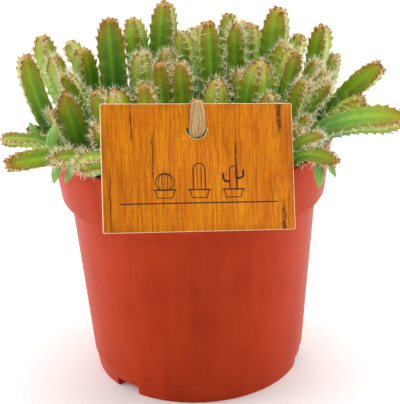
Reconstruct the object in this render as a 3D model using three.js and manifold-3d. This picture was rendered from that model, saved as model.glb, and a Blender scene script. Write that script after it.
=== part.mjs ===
// Potted dragon fruit cactus: a terracotta-coloured nursery pot filled with soil, a crowd of ribbed seedling
// stems with their needles and seed leaves, and a wood-print card hung before them on a raffia band.
// Millimetres, +Z up, -Y is the front. The origin is on the pot's axis, on the ground.
import * as THREE from 'three';
import { mergeVertices } from 'three/addons/utils/BufferGeometryUtils.js';
import Module from 'manifold-3d';

const wasm = await Module();
wasm.setup();

// Driving dimensions of the pot
const potHeight = 116;
const rimRadius = 65;
const rimBandHeight = 26.4;
const rimBandFootRadius = 61.6;
const wallTopRadius = 57.6;
const footRadius = 48.8;
const ledgeHeight = 8.4;
const ledgeRadius = 50.2;
const ledgeStep = 0.4;
const potWall = 1.2;
const rimRounding = 0.6;
const bandRounding = 0.5;
const potSides = 40;

// Underside: a centre pad and a foot ring on the ground, and a raised channel with drain holes between them
const padRadius = 14;
const channelHeight = 4.6;
const channelInnerRadius = 15.5;
const channelOuterRadius = 43.5;
const footRingInnerRadius = 45;
const floorHeight = 6;
const floorThickness = 1.5;
const drainHoleRadius = 4;
const drainHoleCircle = 30;
const drainHoleCount = 6;
const drainHoleSides = 10;
const footGapAngles = [-44, 76, 196];
const footGapWidth = 16;

// Soil
const soilTop = 104;
const soilGap = 0.3;
const soilSides = 20;
const soilRings = [0.55];
const soilRelief = 1.2;
const soilEdgeDrop = 1;
const rootDepth = 8;
const rootGap = 0.35;
const rootHoleSides = 6;

// Ribbed stems
const neckShare = 0.55;
const neckLeast = 2.3;
const valleyShare = { 3: 0.46, 4: 0.62, 5: 0.74 };
const toothDepth = 0.55;
const toothLength = 1.1;
const areoleLead = 0.2;
const tipLength = 1.6;
const tipTopShare = 0.42;
const tipRounding = 0.35;
const apexRow = 0.1;
const apexRowGap = 0.4;
const valleyRows = { small: [0.55], large: [0.4, 0.7] };
const valleyRowsFromTip = [1.1, 0.35];
const valleyRowGap = 0.5;
const areolesFromTip = [2.2, 5.8, 10.4, 16, 22.6];
const smallStemRadius = 4.5;
const smallStemAreoles = 4;
const bareFoot = 6;
const footHeight = 1;
const footCollar = 0.5;
const sharpRise = 0.85;
const bendRow = 8;
const shootStart = 0.12;

// Needles, three-sided, at their true size
const needleRadius = 0.2;
const needleLength = [3.6, 5.2];
const needleRoot = 1.2;
const needleSpread = 0.55;
const needleLift = 0.88;
const needlesOnLargeStem = 6;
const needlesOnSmallStem = 4;
const needleClearance = 0.45;
const needleTries = 24;
const needleSamples = [0.3, 0.4, 0.5, 0.6, 0.7, 0.8, 0.9, 1];
const potClearance = 0.8;
const stemSampleStep = 1.5;

// Seed leaves: their thickness, and their breadth as shares of the width at shares of the length
const leafThickness = 1.4;
const leafOutline = [[0.2, 0.55], [0.5, 1], [0.78, 0.7]];

// Card, given by the middle of its face, its size and its three turns
const cardCentre = new THREE.Vector3(2.7, -63, 125.3);
const cardWidth = 83.9;
const cardHeight = 54.5;
const cardThickness = 0.8;
const cardTurn = 15.1;
const cardLean = 26.25;
const cardRoll = -7.1;
const cardCorner = 0.8;
const slotCentre = [-0.5, 16.7];
const slotRadius = 4.6;
const slotOpening = 2.6;
const slotHornDrop = 0.6;
const slotSegments = 10;

// Raffia band
const bandThickness = 0.7;
const bandWide = 7.2;
const bandMiddle = 6.2;
const bandNarrow = 4.8;
const bandGap = 0.35;
const bandSlack = 0.25;

// Repeatable random numbers for the soil and the needles
let randomState = 20417;
function random() {
  randomState = (randomState + 0x6d2b79f5) | 0;
  let mixed = Math.imul(randomState ^ (randomState >>> 15), 1 | randomState);
  mixed = (mixed + Math.imul(mixed ^ (mixed >>> 7), 61 | mixed)) ^ mixed;
  return ((mixed ^ (mixed >>> 14)) >>> 0) / 4294967296;
}

// Each stem: where it leaves the soil, where its tip is, its radius over the rib crests, the number of ribs,
// and the angle of one crest from the front. reach and rise bend it: reach is how far out its control point
// lies, rise how high, both as shares of the way to the tip. swell is the share of its length over which it
// widens from its neck. Where they aren't given, the usual growth holds.
const usualGrowth = { reach: 0.3, rise: 0.6, swell: 0.5 };
const stemTable = [
  // Left side, in front, leaning out over the rim
  {
    base: [-42, -34], tip: [-80, -56, 126.3], radius: 5.8, ribs: 4, turn: -20,
    reach: 0, rise: 1.08, swell: 0.6,
    leaves: [{ at: 0.62, tip: [-59.4, -38, 137.4], width: 5 }],
  },
  {
    base: [-49, -27], tip: [-84.2, -31, 128.2], radius: 3.25, ribs: 4, turn: 10, reach: 0.05, rise: 0.92,
    leaves: [{ at: 0.62, tip: [-71.5, -27, 134.5], width: 3.6 }],
  },
  {
    base: [-37.7, -38.9], tip: [-60.7, -54.6, 127.6], radius: 4.03, ribs: 4, turn: 0,
    reach: 0.04, rise: 0.9,
    leaves: [
      { at: 0.9, tip: [-60.6, -50, 114.4], width: 4 },
      { at: 0.68, tip: [-55.6, -50, 114.6], width: 3.8 },
    ],
  },
  {
    base: [-32.2, -44.1], tip: [-49.6, -60, 125.7], radius: 4.03, ribs: 4, turn: 30, reach: 0, rise: 1.2,
    leaves: [{ at: 0.45, tip: [-45.5, -53, 118.8], width: 3.8 }],
  },
  { base: [-31, -34], tip: [-41, -46, 139], radius: 4.26, ribs: 4, turn: 15 },
  {
    base: [-49, -15.5], tip: [-55.2, -28, 147.6], radius: 6.61, ribs: 3, turn: 64,
    reach: 0.4, rise: 0.55, swell: 0.36,
    shoot: { tip: [-61.4, -27.9, 140.2], radius: 3.39, ribs: 3, turn: 0, reach: 0.67, rise: 0.57 },
  },
  // Left side, upright
  {
    base: [-50, -2.6], tip: [-71.4, -21.9, 163.8], radius: 6.6, ribs: 4, turn: -30,
    reach: 0.89, rise: 0.42, swell: 0.36,
    shoot: { tip: [-73.6, -22, 127.4], radius: 3.29, ribs: 3, turn: 20, rise: 0.8 },
  },
  {
    base: [-45.1, 21.2], tip: [-68, 24.9, 157.2], radius: 5.89, ribs: 5, turn: 8,
    reach: 0.94, rise: 0.49, swell: 0.36,
  },
  { base: [-39, 36], tip: [-58, 44, 147], radius: 5.1, ribs: 4, turn: 30, swell: 0.36 },
  {
    base: [-44.5, 8], tip: [-61.9, 9, 152.5], radius: 4.48, ribs: 4, turn: 12,
    reach: 0.89, rise: 0.59, swell: 0.36,
  },
  {
    base: [-42.7, 14.1], tip: [-48.8, 17.3, 152.8], radius: 6.42, ribs: 4, turn: -8,
    reach: 1, rise: 0.48, swell: 0.36,
  },
  { base: [-41, -4], tip: [-57, -6, 149], radius: 4.26, ribs: 4, turn: 40, swell: 0.36 },
  // Middle, behind the card's top edge
  { base: [-32, -24], tip: [-42, -28, 148], radius: 5.6, ribs: 4, turn: 38, swell: 0.36 },
  { base: [-25, -33], tip: [-33, -36, 151.3], radius: 5.6, ribs: 4, turn: 8, swell: 0.36 },
  { base: [-16, -31], tip: [-20, -34, 153], radius: 6.38, ribs: 4, turn: 40, swell: 0.36 },
  { base: [-10, -18], tip: [-13, -18, 157], radius: 6.16, ribs: 4, turn: 40, swell: 0.36 },
  { base: [-2, -22], tip: [-4, -22, 158], radius: 5.94, ribs: 4, turn: 44, swell: 0.36 },
  { base: [10, -32], tip: [12, -34, 154], radius: 5.6, ribs: 4, turn: 2, swell: 0.36 },
  {
    base: [25, -21], tip: [32, -24, 158], radius: 7.39, ribs: 4, turn: -6, swell: 0.36,
    shoot: { tip: [22, -15, 151], radius: 3.39, ribs: 3, turn: 20, reach: 0.6 },
  },
  { base: [29, -32], tip: [35, -36, 147], radius: 4.93, ribs: 4, turn: 10, swell: 0.36 },
  // Middle rows
  { base: [-34, 8], tip: [-36, 12, 169], radius: 7.66, ribs: 3, turn: 62, swell: 0.36 },
  { base: [-22, 26], tip: [-26, 32, 162], radius: 6.5, ribs: 5, turn: 20, swell: 0.36 },
  { base: [-20, -6], tip: [-21.5, -2, 156.5], radius: 5.57, ribs: 5, turn: 0, swell: 0.36 },
  { base: [-14, 18], tip: [-10, 24, 172], radius: 7.6, ribs: 4, turn: 30, swell: 0.36 },
  { base: [-8, 2], tip: [-10, 4, 155], radius: 5.34, ribs: 4, turn: 15, swell: 0.36 },
  { base: [4, 8], tip: [-3.5, 16, 160], radius: 5.2, ribs: 4, turn: 20, swell: 0.36 },
  { base: [10, -4], tip: [9, 2, 169], radius: 6.38, ribs: 4, turn: -35, swell: 0.36 },
  { base: [21, 10], tip: [22, 14, 163], radius: 5.57, ribs: 4, turn: 42, swell: 0.36 },
  { base: [28, 24], tip: [30, 30, 158], radius: 5.57, ribs: 4, turn: 5, swell: 0.36 },
  { base: [36, 12], tip: [42, 16, 170], radius: 8, ribs: 4, turn: 30, swell: 0.36 },
  { base: [32, 0], tip: [44, 2, 157], radius: 5.1, ribs: 4, turn: 20, swell: 0.36 },
  { base: [37, -9], tip: [48, -10, 158], radius: 5.82, ribs: 4, turn: -35, swell: 0.36 },
  // Back rows
  { base: [6, 38], tip: [4, 46, 152], radius: 5.8, ribs: 5, turn: 10, swell: 0.36 },
  { base: [16, 34], tip: [20, 40, 160], radius: 5.57, ribs: 4, turn: 30, swell: 0.36 },
  { base: [26, 44], tip: [27, 50, 153], radius: 4.87, ribs: 4, turn: 20, swell: 0.36 },
  { base: [42, 34], tip: [54, 38, 149], radius: 5.34, ribs: 4, turn: 10, swell: 0.36 },
  {
    base: [46.9, 19.8], tip: [62.8, 22, 158.4], radius: 6.21, ribs: 4, turn: 15,
    reach: 0.71, rise: 0.33, swell: 0.36,
  },
  { base: [-16, 42], tip: [-17, 52, 138], radius: 5.6, ribs: 4, turn: 25, swell: 0.36 },
  { base: [-2, 53], tip: [-4, 64, 131], radius: 5.6, ribs: 4, turn: 5, swell: 0.36 },
  { base: [14, 52], tip: [17, 62, 128], radius: 5.6, ribs: 4, turn: 35, swell: 0.36 },
  { base: [34, 44], tip: [47, 52, 135], radius: 5.38, ribs: 3, turn: 180, swell: 0.36 },
  { base: [-28, 46], tip: [-41, 54, 135], radius: 5.38, ribs: 3, turn: 170, swell: 0.36 },
  // Right side, upright
  { base: [36, -20.6], tip: [50.5, -24, 149], radius: 4.45, ribs: 4, turn: 20, reach: 0.6, swell: 0.36 },
  {
    base: [46, 8.5], tip: [59.2, 8.3, 145.9], radius: 4.26, ribs: 4, turn: 5,
    reach: 0.6, rise: 0.65, swell: 0.36,
  },
  { base: [42, -2], tip: [61.6, -8.7, 147], radius: 4.26, ribs: 4, turn: 25, reach: 0.6, swell: 0.36 },
  { base: [42.6, -11.8], tip: [62, -22, 146], radius: 3.81, ribs: 4, turn: 40, swell: 0.36 },
  { base: [37.6, -27.8], tip: [52.3, -29.5, 133], radius: 3.5, ribs: 4, turn: 10 },
  { base: [35.8, -33.3], tip: [47.3, -38, 131.6], radius: 3.82, ribs: 4, turn: 45 },
  // Right side, leaning out over the rim
  {
    base: [49.3, 2.5], tip: [86.3, -11, 150], radius: 7.3, ribs: 4, turn: 20,
    reach: 0.38, rise: 0.5, swell: 1,
    shoot: { tip: [66.9, 2.5, 151.2], radius: 3.51, ribs: 3, turn: 10, reach: 0.9, rise: 0.42 },
  },
  {
    base: [49.6, -8.2], tip: [79, -17, 135.3], radius: 6.18, ribs: 4, turn: 40,
    reach: 0.47, rise: 0.78, swell: 0.95,
  },
  {
    base: [45.6, -30.6], tip: [90.5, -54, 140.2], radius: 7.4, ribs: 4, turn: 0,
    reach: 0.02, rise: 0.86, swell: 0.9,
  },
  {
    base: [41.7, -39], tip: [62.5, -54.5, 121.4], radius: 4.97, ribs: 4, turn: 25,
    reach: 0, rise: 1.42, swell: 0.8,
    shoot: { tip: [56.5, -50, 132], radius: 3.15, ribs: 3, turn: 30, reach: 0.15, rise: 0.9 },
    leaves: [
      { at: 0.75, tip: [54.4, -56, 110.8], width: 4.6 },
      { at: 0.85, tip: [61.8, -54, 114.6], width: 3 },
    ],
  },
  // Short stems hidden behind the card; the middle one carries the raffia band
  { base: [-14, -46], tip: [-18, -46, 132], radius: 4.6, ribs: 4, turn: 30 },
  { base: [4, -43], tip: [5, -42, 144], radius: 4.2, ribs: 4, turn: 45, bare: true },
  { base: [20, -42], tip: [25, -42, 129], radius: 4.8, ribs: 4, turn: 15 },
];
const stems = stemTable.map((stem) => {
  const whole = { ...usualGrowth, ...stem };
  if (stem.shoot) whole.shoot = { ...usualGrowth, ...stem.shoot };
  return whole;
});

// Solids and geometries
function toSolid(geometry) {
  const bare = geometry.clone();
  bare.deleteAttribute('normal');
  bare.deleteAttribute('uv');
  const merged = mergeVertices(bare, 1e-4);
  const vertProperties = new Float32Array(merged.attributes.position.array);
  const triVerts = new Uint32Array(merged.index.array);
  return new wasm.Manifold(new wasm.Mesh({ numProp: 3, vertProperties, triVerts }));
}

function solidFromTriangles(vertices, triangles) {
  const vertProperties = new Float32Array(vertices.flatMap((v) => [v.x, v.y, v.z]));
  const triVerts = new Uint32Array(triangles.flat());
  return new wasm.Manifold(new wasm.Mesh({ numProp: 3, vertProperties, triVerts }));
}

function toGeometry(solid) {
  const mesh = solid.getMesh();
  const geometry = new THREE.BufferGeometry();
  const positions = [];
  for (let v = 0; v < mesh.vertProperties.length; v += mesh.numProp) {
    positions.push(mesh.vertProperties[v], mesh.vertProperties[v + 1], mesh.vertProperties[v + 2]);
  }
  geometry.setAttribute('position', new THREE.Float32BufferAttribute(positions, 3));
  geometry.setIndex(Array.from(mesh.triVerts));
  geometry.computeVertexNormals();
  return geometry;
}

// A body of revolution about +Z from [radius, height] points that start and end on the axis
function lathe(profile, sides) {
  const points = profile.map(([radius, height]) => new THREE.Vector2(radius, height));
  const geometry = new THREE.LatheGeometry(points, sides);
  geometry.rotateX(Math.PI / 2);
  return geometry;
}

function upright(radius, bottom, top, x, y, sides) {
  const geometry = new THREE.CylinderGeometry(radius, radius, top - bottom, sides);
  geometry.rotateX(Math.PI / 2);
  geometry.translate(x, y, (top + bottom) / 2);
  return toSolid(geometry);
}

// A wedge under the foot ring, between two radii and up to a height
function footWedge(angle, width, height) {
  const inner = channelOuterRadius - 3;
  const outer = footRadius + 5;
  const corners = [[inner, -1], [outer, -1], [outer, 1], [inner, 1]].map(([radius, side]) => {
    const direction = THREE.MathUtils.degToRad(angle + (side * width) / 2);
    return new THREE.Vector2(radius * Math.sin(direction), -radius * Math.cos(direction));
  });
  const shape = new THREE.Shape(corners);
  const geometry = new THREE.ExtrudeGeometry(shape, { depth: height + 1, bevelEnabled: false });
  geometry.translate(0, 0, -1);
  return toSolid(geometry);
}

// Inner radius of the pot at a height, for the soil and for what has to stay clear of the wall
const bandFoot = potHeight - rimBandHeight;
function potInnerRadius(height) {
  if (height > bandFoot + potWall) {
    const share = (height - bandFoot) / rimBandHeight;
    return THREE.MathUtils.lerp(rimBandFootRadius, rimRadius, share) - potWall;
  }
  const share = (height - ledgeHeight) / (bandFoot - ledgeHeight);
  return THREE.MathUtils.lerp(ledgeRadius + ledgeStep, wallTopRadius, share) - potWall;
}

function makePot() {
  const outside = [
    [0, 0],
    [padRadius, 0],
    [channelInnerRadius, channelHeight],
    [channelOuterRadius, channelHeight],
    [footRingInnerRadius, 0],
    [footRadius, 0],
    [ledgeRadius, ledgeHeight],
    [ledgeRadius + ledgeStep, ledgeHeight + ledgeStep],
    [wallTopRadius, bandFoot - bandRounding],
    [rimBandFootRadius - bandRounding, bandFoot],
    [rimBandFootRadius, bandFoot + bandRounding],
    [rimRadius, potHeight - rimRounding],
    [rimRadius - rimRounding, potHeight],
    [0, potHeight],
  ];
  const inside = [
    [0, floorThickness],
    [padRadius, floorThickness],
    [channelInnerRadius, floorHeight],
    [channelOuterRadius, floorHeight],
    [footRingInnerRadius + ledgeStep, floorThickness],
    [footRadius - potWall, floorThickness],
    [ledgeRadius - potWall, ledgeHeight],
    [potInnerRadius(bandFoot - 1), bandFoot],
    [potInnerRadius(bandFoot + 2), bandFoot + 2],
    [rimRadius - potWall, potHeight],
    [rimRadius - potWall, potHeight + 2],
    [0, potHeight + 2],
  ];
  let body = toSolid(lathe(outside, potSides));
  let cavity = toSolid(lathe(inside, potSides));
  const wallWidth = THREE.MathUtils.radToDeg((2 * potWall) / footRadius);
  for (const angle of footGapAngles) {
    body = body.subtract(footWedge(angle, footGapWidth, channelHeight));
    cavity = cavity.subtract(footWedge(angle, footGapWidth + wallWidth, floorHeight));
  }
  body = body.subtract(cavity);
  for (let hole = 0; hole < drainHoleCount; hole += 1) {
    const angle = ((hole + 0.5) * 2 * Math.PI) / drainHoleCount;
    const x = drainHoleCircle * Math.sin(angle);
    const y = -drainHoleCircle * Math.cos(angle);
    body = body.subtract(upright(drainHoleRadius, 1, floorHeight + 2, x, y, drainHoleSides));
  }
  return toGeometry(body);
}

// Stem axes and sections
const front = new THREE.Vector3(0, -1, 0);
const up = new THREE.Vector3(0, 0, 1);

function neckRadius(stem) {
  return Math.max(neckShare * stem.radius, neckLeast);
}

function makeAxis(start, stem) {
  const tip = new THREE.Vector3(...stem.tip);
  const control = new THREE.Vector3(
    THREE.MathUtils.lerp(start.x, tip.x, stem.reach),
    THREE.MathUtils.lerp(start.y, tip.y, stem.reach),
    THREE.MathUtils.lerp(start.z, tip.z, stem.rise),
  );
  return new THREE.QuadraticBezierCurve3(start, control, tip);
}

// The point and the section directions of an axis at a height along it; below 0 it goes straight down
function station(axis, length, height) {
  if (height <= 0) {
    const point = axis.v0.clone().addScaledVector(up, height);
    return { point, ahead: front.clone(), side: new THREE.Vector3(1, 0, 0), along: up.clone() };
  }
  const share = Math.min(height / length, 1);
  const point = axis.getPointAt(share);
  const along = axis.getTangentAt(share);
  const ahead = front.clone().addScaledVector(along, -front.dot(along)).normalize();
  const side = new THREE.Vector3().crossVectors(along, ahead);
  return { point, ahead, side, along };
}

// Radius over the crests at a height: it swells from the neck, and tapers to a small rounded top
function crestRadius(stem, length, height) {
  const swell = THREE.MathUtils.clamp(height / (stem.swell * length), 0, 1);
  const body = THREE.MathUtils.lerp(neckRadius(stem), stem.radius, swell);
  const fromTip = (length - height) / stem.radius;
  const taper = Math.sin((Math.min(fromTip / tipLength, 1) * Math.PI) / 2);
  const rounding = Math.sqrt(Math.max(1 - (1 - Math.min(fromTip / tipRounding, 1)) ** 2, 0));
  return body * THREE.MathUtils.lerp(tipTopShare, 1, taper) * rounding;
}

function areoleHeights(stem, length) {
  const count = stem.radius < smallStemRadius ? smallStemAreoles : areolesFromTip.length;
  const heights = areolesFromTip.slice(0, count).map((fromTip) => length - fromTip);
  return heights.filter((height) => height > bareFoot).reverse();
}

function sectionPoint(place, angle, radius) {
  return place.point
    .clone()
    .addScaledVector(place.ahead, radius * Math.cos(angle))
    .addScaledVector(place.side, radius * Math.sin(angle));
}

// Extra rows between two heights where a stem bends out sharply over the rim
function bendHeights(stem, from, to) {
  const heights = [];
  if (stem.rise < sharpRise) return heights;
  const count = Math.floor((to - from) / bendRow);
  for (let n = 1; n <= count; n += 1) heights.push(from + ((to - from) * n) / (count + 1));
  return heights;
}

// One column of a stem's skin: heights with their radii, from the root to just below the apex
function crestColumn(stem, length, footRows) {
  const rows = footRows.map((height) => [height, neckRadius(stem)]);
  for (const height of bendHeights(stem, footRows.at(-1), areoleHeights(stem, length)[0])) {
    rows.push([height, crestRadius(stem, length, height)]);
  }
  for (const height of areoleHeights(stem, length)) {
    const radius = crestRadius(stem, length, height);
    rows.push([height - areoleLead, radius]);
    const notch = height + toothLength;
    rows.push([notch, crestRadius(stem, length, notch) - toothDepth]);
  }
  const last = length - apexRow * stem.radius;
  if (rows.at(-1)[0] < last - apexRowGap) rows.push([last, crestRadius(stem, length, last)]);
  return rows;
}

function valleyColumn(stem, length, footRows) {
  const depth = valleyShare[stem.ribs];
  const rows = footRows.map((height) => [height, neckRadius(stem)]);
  const shares = stem.radius < smallStemRadius ? valleyRows.small : valleyRows.large;
  const bends = bendHeights(stem, footRows.at(-1), length - stem.radius);
  const middles = bends.length > 0 ? bends : shares.map((share) => share * length);
  for (const height of middles) rows.push([height, depth * crestRadius(stem, length, height)]);
  for (const fromTip of valleyRowsFromTip) {
    const height = length - fromTip * stem.radius;
    if (height < rows.at(-1)[0] + valleyRowGap) continue;
    rows.push([height, depth * crestRadius(stem, length, height)]);
  }
  return rows;
}

// Triangles between two neighbouring columns of [height, vertex] that end in the same apex
function zip(left, right, triangles) {
  let i = 0;
  let j = 0;
  while (i < left.length - 1 || j < right.length - 1) {
    const leftNext = i < left.length - 1 ? left[i + 1][0] : Infinity;
    const rightNext = j < right.length - 1 ? right[j + 1][0] : Infinity;
    if (leftNext <= rightNext) {
      if (left[i + 1][1] !== right[j][1]) triangles.push([left[i][1], right[j][1], left[i + 1][1]]);
      i += 1;
    } else {
      if (left[i][1] !== right[j + 1][1]) triangles.push([left[i][1], right[j][1], right[j + 1][1]]);
      j += 1;
    }
  }
}

function ribbedSolid(stem, axis, footRows) {
  const length = axis.getLength();
  const vertices = [];
  const triangles = [];
  const columns = [];
  for (let c = 0; c < 2 * stem.ribs; c += 1) {
    const angle = THREE.MathUtils.degToRad(stem.turn) + (c * Math.PI) / stem.ribs;
    const make = c % 2 === 0 ? crestColumn : valleyColumn;
    const column = make(stem, length, footRows).map(([height, radius]) => {
      vertices.push(sectionPoint(station(axis, length, height), angle, radius));
      return [height, vertices.length - 1];
    });
    columns.push(column);
  }
  vertices.push(axis.getPointAt(1));
  for (const column of columns) column.push([length, vertices.length - 1]);
  columns.forEach((column, c) => zip(column, columns[(c + 1) % columns.length], triangles));
  for (let c = 1; c < columns.length - 1; c += 1) {
    triangles.push([columns[0][0][1], columns[c + 1][0][1], columns[c][0][1]]);
  }
  return solidFromTriangles(vertices, triangles);
}

// A pointed fleshy leaf from a point inside the stem to its own tip
function leafSolid(start, tip, width) {
  const along = tip.clone().sub(start);
  const side = new THREE.Vector3().crossVectors(along, front).normalize();
  const thick = new THREE.Vector3().crossVectors(along, side).normalize();
  const deep = leafThickness / 2;
  const vertices = [start.clone()];
  const triangles = [];
  for (const [share, breadth] of leafOutline) {
    const middle = start.clone().lerp(tip, share);
    const half = (breadth * width) / 2;
    vertices.push(middle.clone().addScaledVector(side, half));
    vertices.push(middle.clone().addScaledVector(thick, deep));
    vertices.push(middle.clone().addScaledVector(side, -half));
    vertices.push(middle.clone().addScaledVector(thick, -deep));
  }
  vertices.push(tip.clone());
  const last = vertices.length - 1;
  const top = 1 + 4 * (leafOutline.length - 1);
  for (let q = 0; q < 4; q += 1) {
    const next = (q + 1) % 4;
    triangles.push([0, 1 + next, 1 + q]);
    for (let row = 0; row < leafOutline.length - 1; row += 1) {
      const low = 1 + 4 * row;
      const high = low + 4;
      triangles.push([low + q, low + next, high + q]);
      triangles.push([low + next, high + next, high + q]);
    }
    triangles.push([top + q, top + next, last]);
  }
  return solidFromTriangles(vertices, triangles);
}

// Card directions: across to the right, up its face, and out of its face towards the front
function cardDirections() {
  const turn = THREE.MathUtils.degToRad(cardTurn);
  const lean = THREE.MathUtils.degToRad(cardLean);
  const roll = THREE.MathUtils.degToRad(cardRoll);
  const level = new THREE.Vector3(Math.cos(turn), Math.sin(turn), 0);
  const out = new THREE.Vector3(Math.sin(turn), -Math.cos(turn), 0).multiplyScalar(Math.cos(lean));
  out.addScaledVector(up, Math.sin(lean));
  const rise = new THREE.Vector3().crossVectors(out, level);
  const across = level.clone().multiplyScalar(Math.cos(roll)).addScaledVector(rise, Math.sin(roll));
  const upward = rise.clone().multiplyScalar(Math.cos(roll)).addScaledVector(level, -Math.sin(roll));
  return { across, upward, out };
}
const card = cardDirections();

function onCard(x, y, z) {
  return cardCentre
    .clone()
    .addScaledVector(card.across, x)
    .addScaledVector(card.upward, y)
    .addScaledVector(card.out, z);
}

// The card lies behind its face; the slot is a crescent that opens upwards
function makeCard() {
  const right = cardWidth / 2;
  const top = cardHeight / 2;
  const corners = [[-1, -1], [1, -1], [1, 1], [-1, 1]].flatMap(([x, y]) => {
    const besideCorner = new THREE.Vector2(x * (right - cardCorner), y * top);
    const underCorner = new THREE.Vector2(x * right, y * (top - cardCorner));
    return x === y ? [underCorner, besideCorner] : [besideCorner, underCorner];
  });
  const shape = new THREE.Shape(corners);
  const slot = new THREE.Path();
  const [x, y] = slotCentre;
  slot.absarc(x, y, slotRadius, Math.PI, 2 * Math.PI, false);
  slot.absarc(x, y + slotHornDrop, slotRadius - slotOpening, 2 * Math.PI, Math.PI, true);
  shape.holes.push(slot);
  const geometry = new THREE.ExtrudeGeometry(shape, {
    depth: cardThickness,
    bevelEnabled: false,
    curveSegments: slotSegments,
  });
  geometry.translate(0, 0, -cardThickness);
  const basis = new THREE.Matrix4().makeBasis(card.across, card.upward, card.out);
  basis.setPosition(cardCentre);
  geometry.applyMatrix4(basis);
  return toGeometry(toSolid(geometry));
}

// The band's middle line as points, each with its width and the way its outer face looks
function bandRoute() {
  const [slotX, slotY] = slotCentre;
  const lip = slotY - slotRadius + slotOpening / 2 + slotHornDrop;
  const edge = cardHeight / 2;
  const over = bandThickness / 2 + bandGap;
  const back = -cardThickness - over;
  const middle = -cardThickness / 2;
  const overX = slotX + 0.3;
  const face = card.out;
  const rear = card.out.clone().negate();
  const knot = stems.find((stem) => stem.bare);
  const turnRadius = knot.radius + over + bandSlack;
  const post = new THREE.Vector3(knot.tip[0], knot.tip[1], 0);
  const aroundPost = (angle, height, radius) => {
    const direction = new THREE.Vector3(Math.sin(angle), Math.cos(angle), 0);
    const point = post.clone().addScaledVector(direction, radius).addScaledVector(up, height);
    return { point, out: direction, width: bandNarrow };
  };
  return [
    { point: onCard(slotX, lip, middle), out: card.upward.clone().negate(), width: bandNarrow },
    { point: onCard(slotX, lip + 1.1, over), out: face, width: bandMiddle },
    { point: onCard(overX, lip + 5.2, over + 0.5), out: face, width: bandWide },
    { point: onCard(overX, edge - 3.6, over + 0.4), out: face, width: bandMiddle },
    { point: onCard(overX, edge + 0.2, over + 0.15), out: face.clone().add(card.upward), width: bandNarrow },
    { point: onCard(overX, edge + over + bandGap, middle), out: card.upward, width: bandNarrow },
    { point: onCard(overX, edge, back - 0.3), out: rear.clone().add(card.upward), width: bandNarrow },
    aroundPost(Math.PI * 0.62, 141, turnRadius + 1.4),
    aroundPost(Math.PI * 0.3, 138.5, turnRadius),
    aroundPost(0, 137.5, turnRadius),
    aroundPost(-Math.PI * 0.3, 136.5, turnRadius),
    aroundPost(-Math.PI * 0.58, 136, turnRadius + 0.6),
    { point: onCard(slotX, lip - 0.6, back - 1.2), out: card.upward.clone().negate(), width: bandNarrow },
  ];
}

function makeBand() {
  const route = bandRoute();
  const vertices = [];
  const triangles = [];
  route.forEach((stop, s) => {
    const before = route[(s + route.length - 1) % route.length].point;
    const after = route[(s + 1) % route.length].point;
    const along = after.clone().sub(before).normalize();
    const out = stop.out.clone().addScaledVector(along, -stop.out.dot(along)).normalize();
    const side = new THREE.Vector3().crossVectors(along, out);
    const half = stop.width / 2;
    const deep = bandThickness / 2;
    for (const [across, outward] of [[half, deep], [-half, deep], [-half, -deep], [half, -deep]]) {
      vertices.push(stop.point.clone().addScaledVector(side, across).addScaledVector(out, outward));
    }
  });
  for (let s = 0; s < route.length; s += 1) {
    const low = 4 * s;
    const high = 4 * ((s + 1) % route.length);
    for (let q = 0; q < 4; q += 1) {
      const next = (q + 1) % 4;
      triangles.push([low + q, high + q, low + next]);
      triangles.push([low + next, high + q, high + next]);
    }
  }
  return toGeometry(solidFromTriangles(vertices, triangles));
}

// What a needle has to keep clear of: every stem's body, as balls along its axis
function ballsAlong(stem, axis, owner) {
  const length = axis.getLength();
  const balls = [];
  for (let height = 0; height <= length; height += stemSampleStep) {
    const place = station(axis, length, height);
    balls.push({ centre: place.point, radius: crestRadius(stem, length, height), owner });
  }
  return balls;
}

function clearOfRest(point, owner, obstacles) {
  const distance = Math.hypot(point.x, point.y);
  const outsideRim = distance > rimRadius + potClearance;
  const insideRim = distance < potInnerRadius(point.z) - potClearance;
  if (point.z < soilTop + potClearance) return false;
  if (point.z < potHeight + potClearance && !insideRim && !outsideRim) return false;
  const local = point.clone().sub(cardCentre);
  const outside = [
    Math.abs(local.dot(card.across)) - cardWidth / 2,
    Math.abs(local.dot(card.upward)) - cardHeight / 2,
    Math.abs(local.dot(card.out) + cardThickness / 2) - cardThickness / 2,
  ];
  if (Math.max(...outside) < needleClearance) return false;
  return obstacles.every(
    (ball) => ball.owner === owner || ball.centre.distanceTo(point) > ball.radius + needleClearance,
  );
}

function needleSolid(root, tip) {
  const along = tip.clone().sub(root).normalize();
  const side = new THREE.Vector3().crossVectors(along, Math.abs(along.z) > 0.9 ? front : up).normalize();
  const other = new THREE.Vector3().crossVectors(along, side);
  const vertices = [0, 1, 2].map((corner) => {
    const angle = (corner * 2 * Math.PI) / 3;
    return root
      .clone()
      .addScaledVector(side, needleRadius * Math.cos(angle))
      .addScaledVector(other, needleRadius * Math.sin(angle));
  });
  vertices.push(tip.clone());
  return solidFromTriangles(vertices, [[0, 2, 1], [0, 1, 3], [1, 2, 3], [2, 0, 3]]);
}

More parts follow.
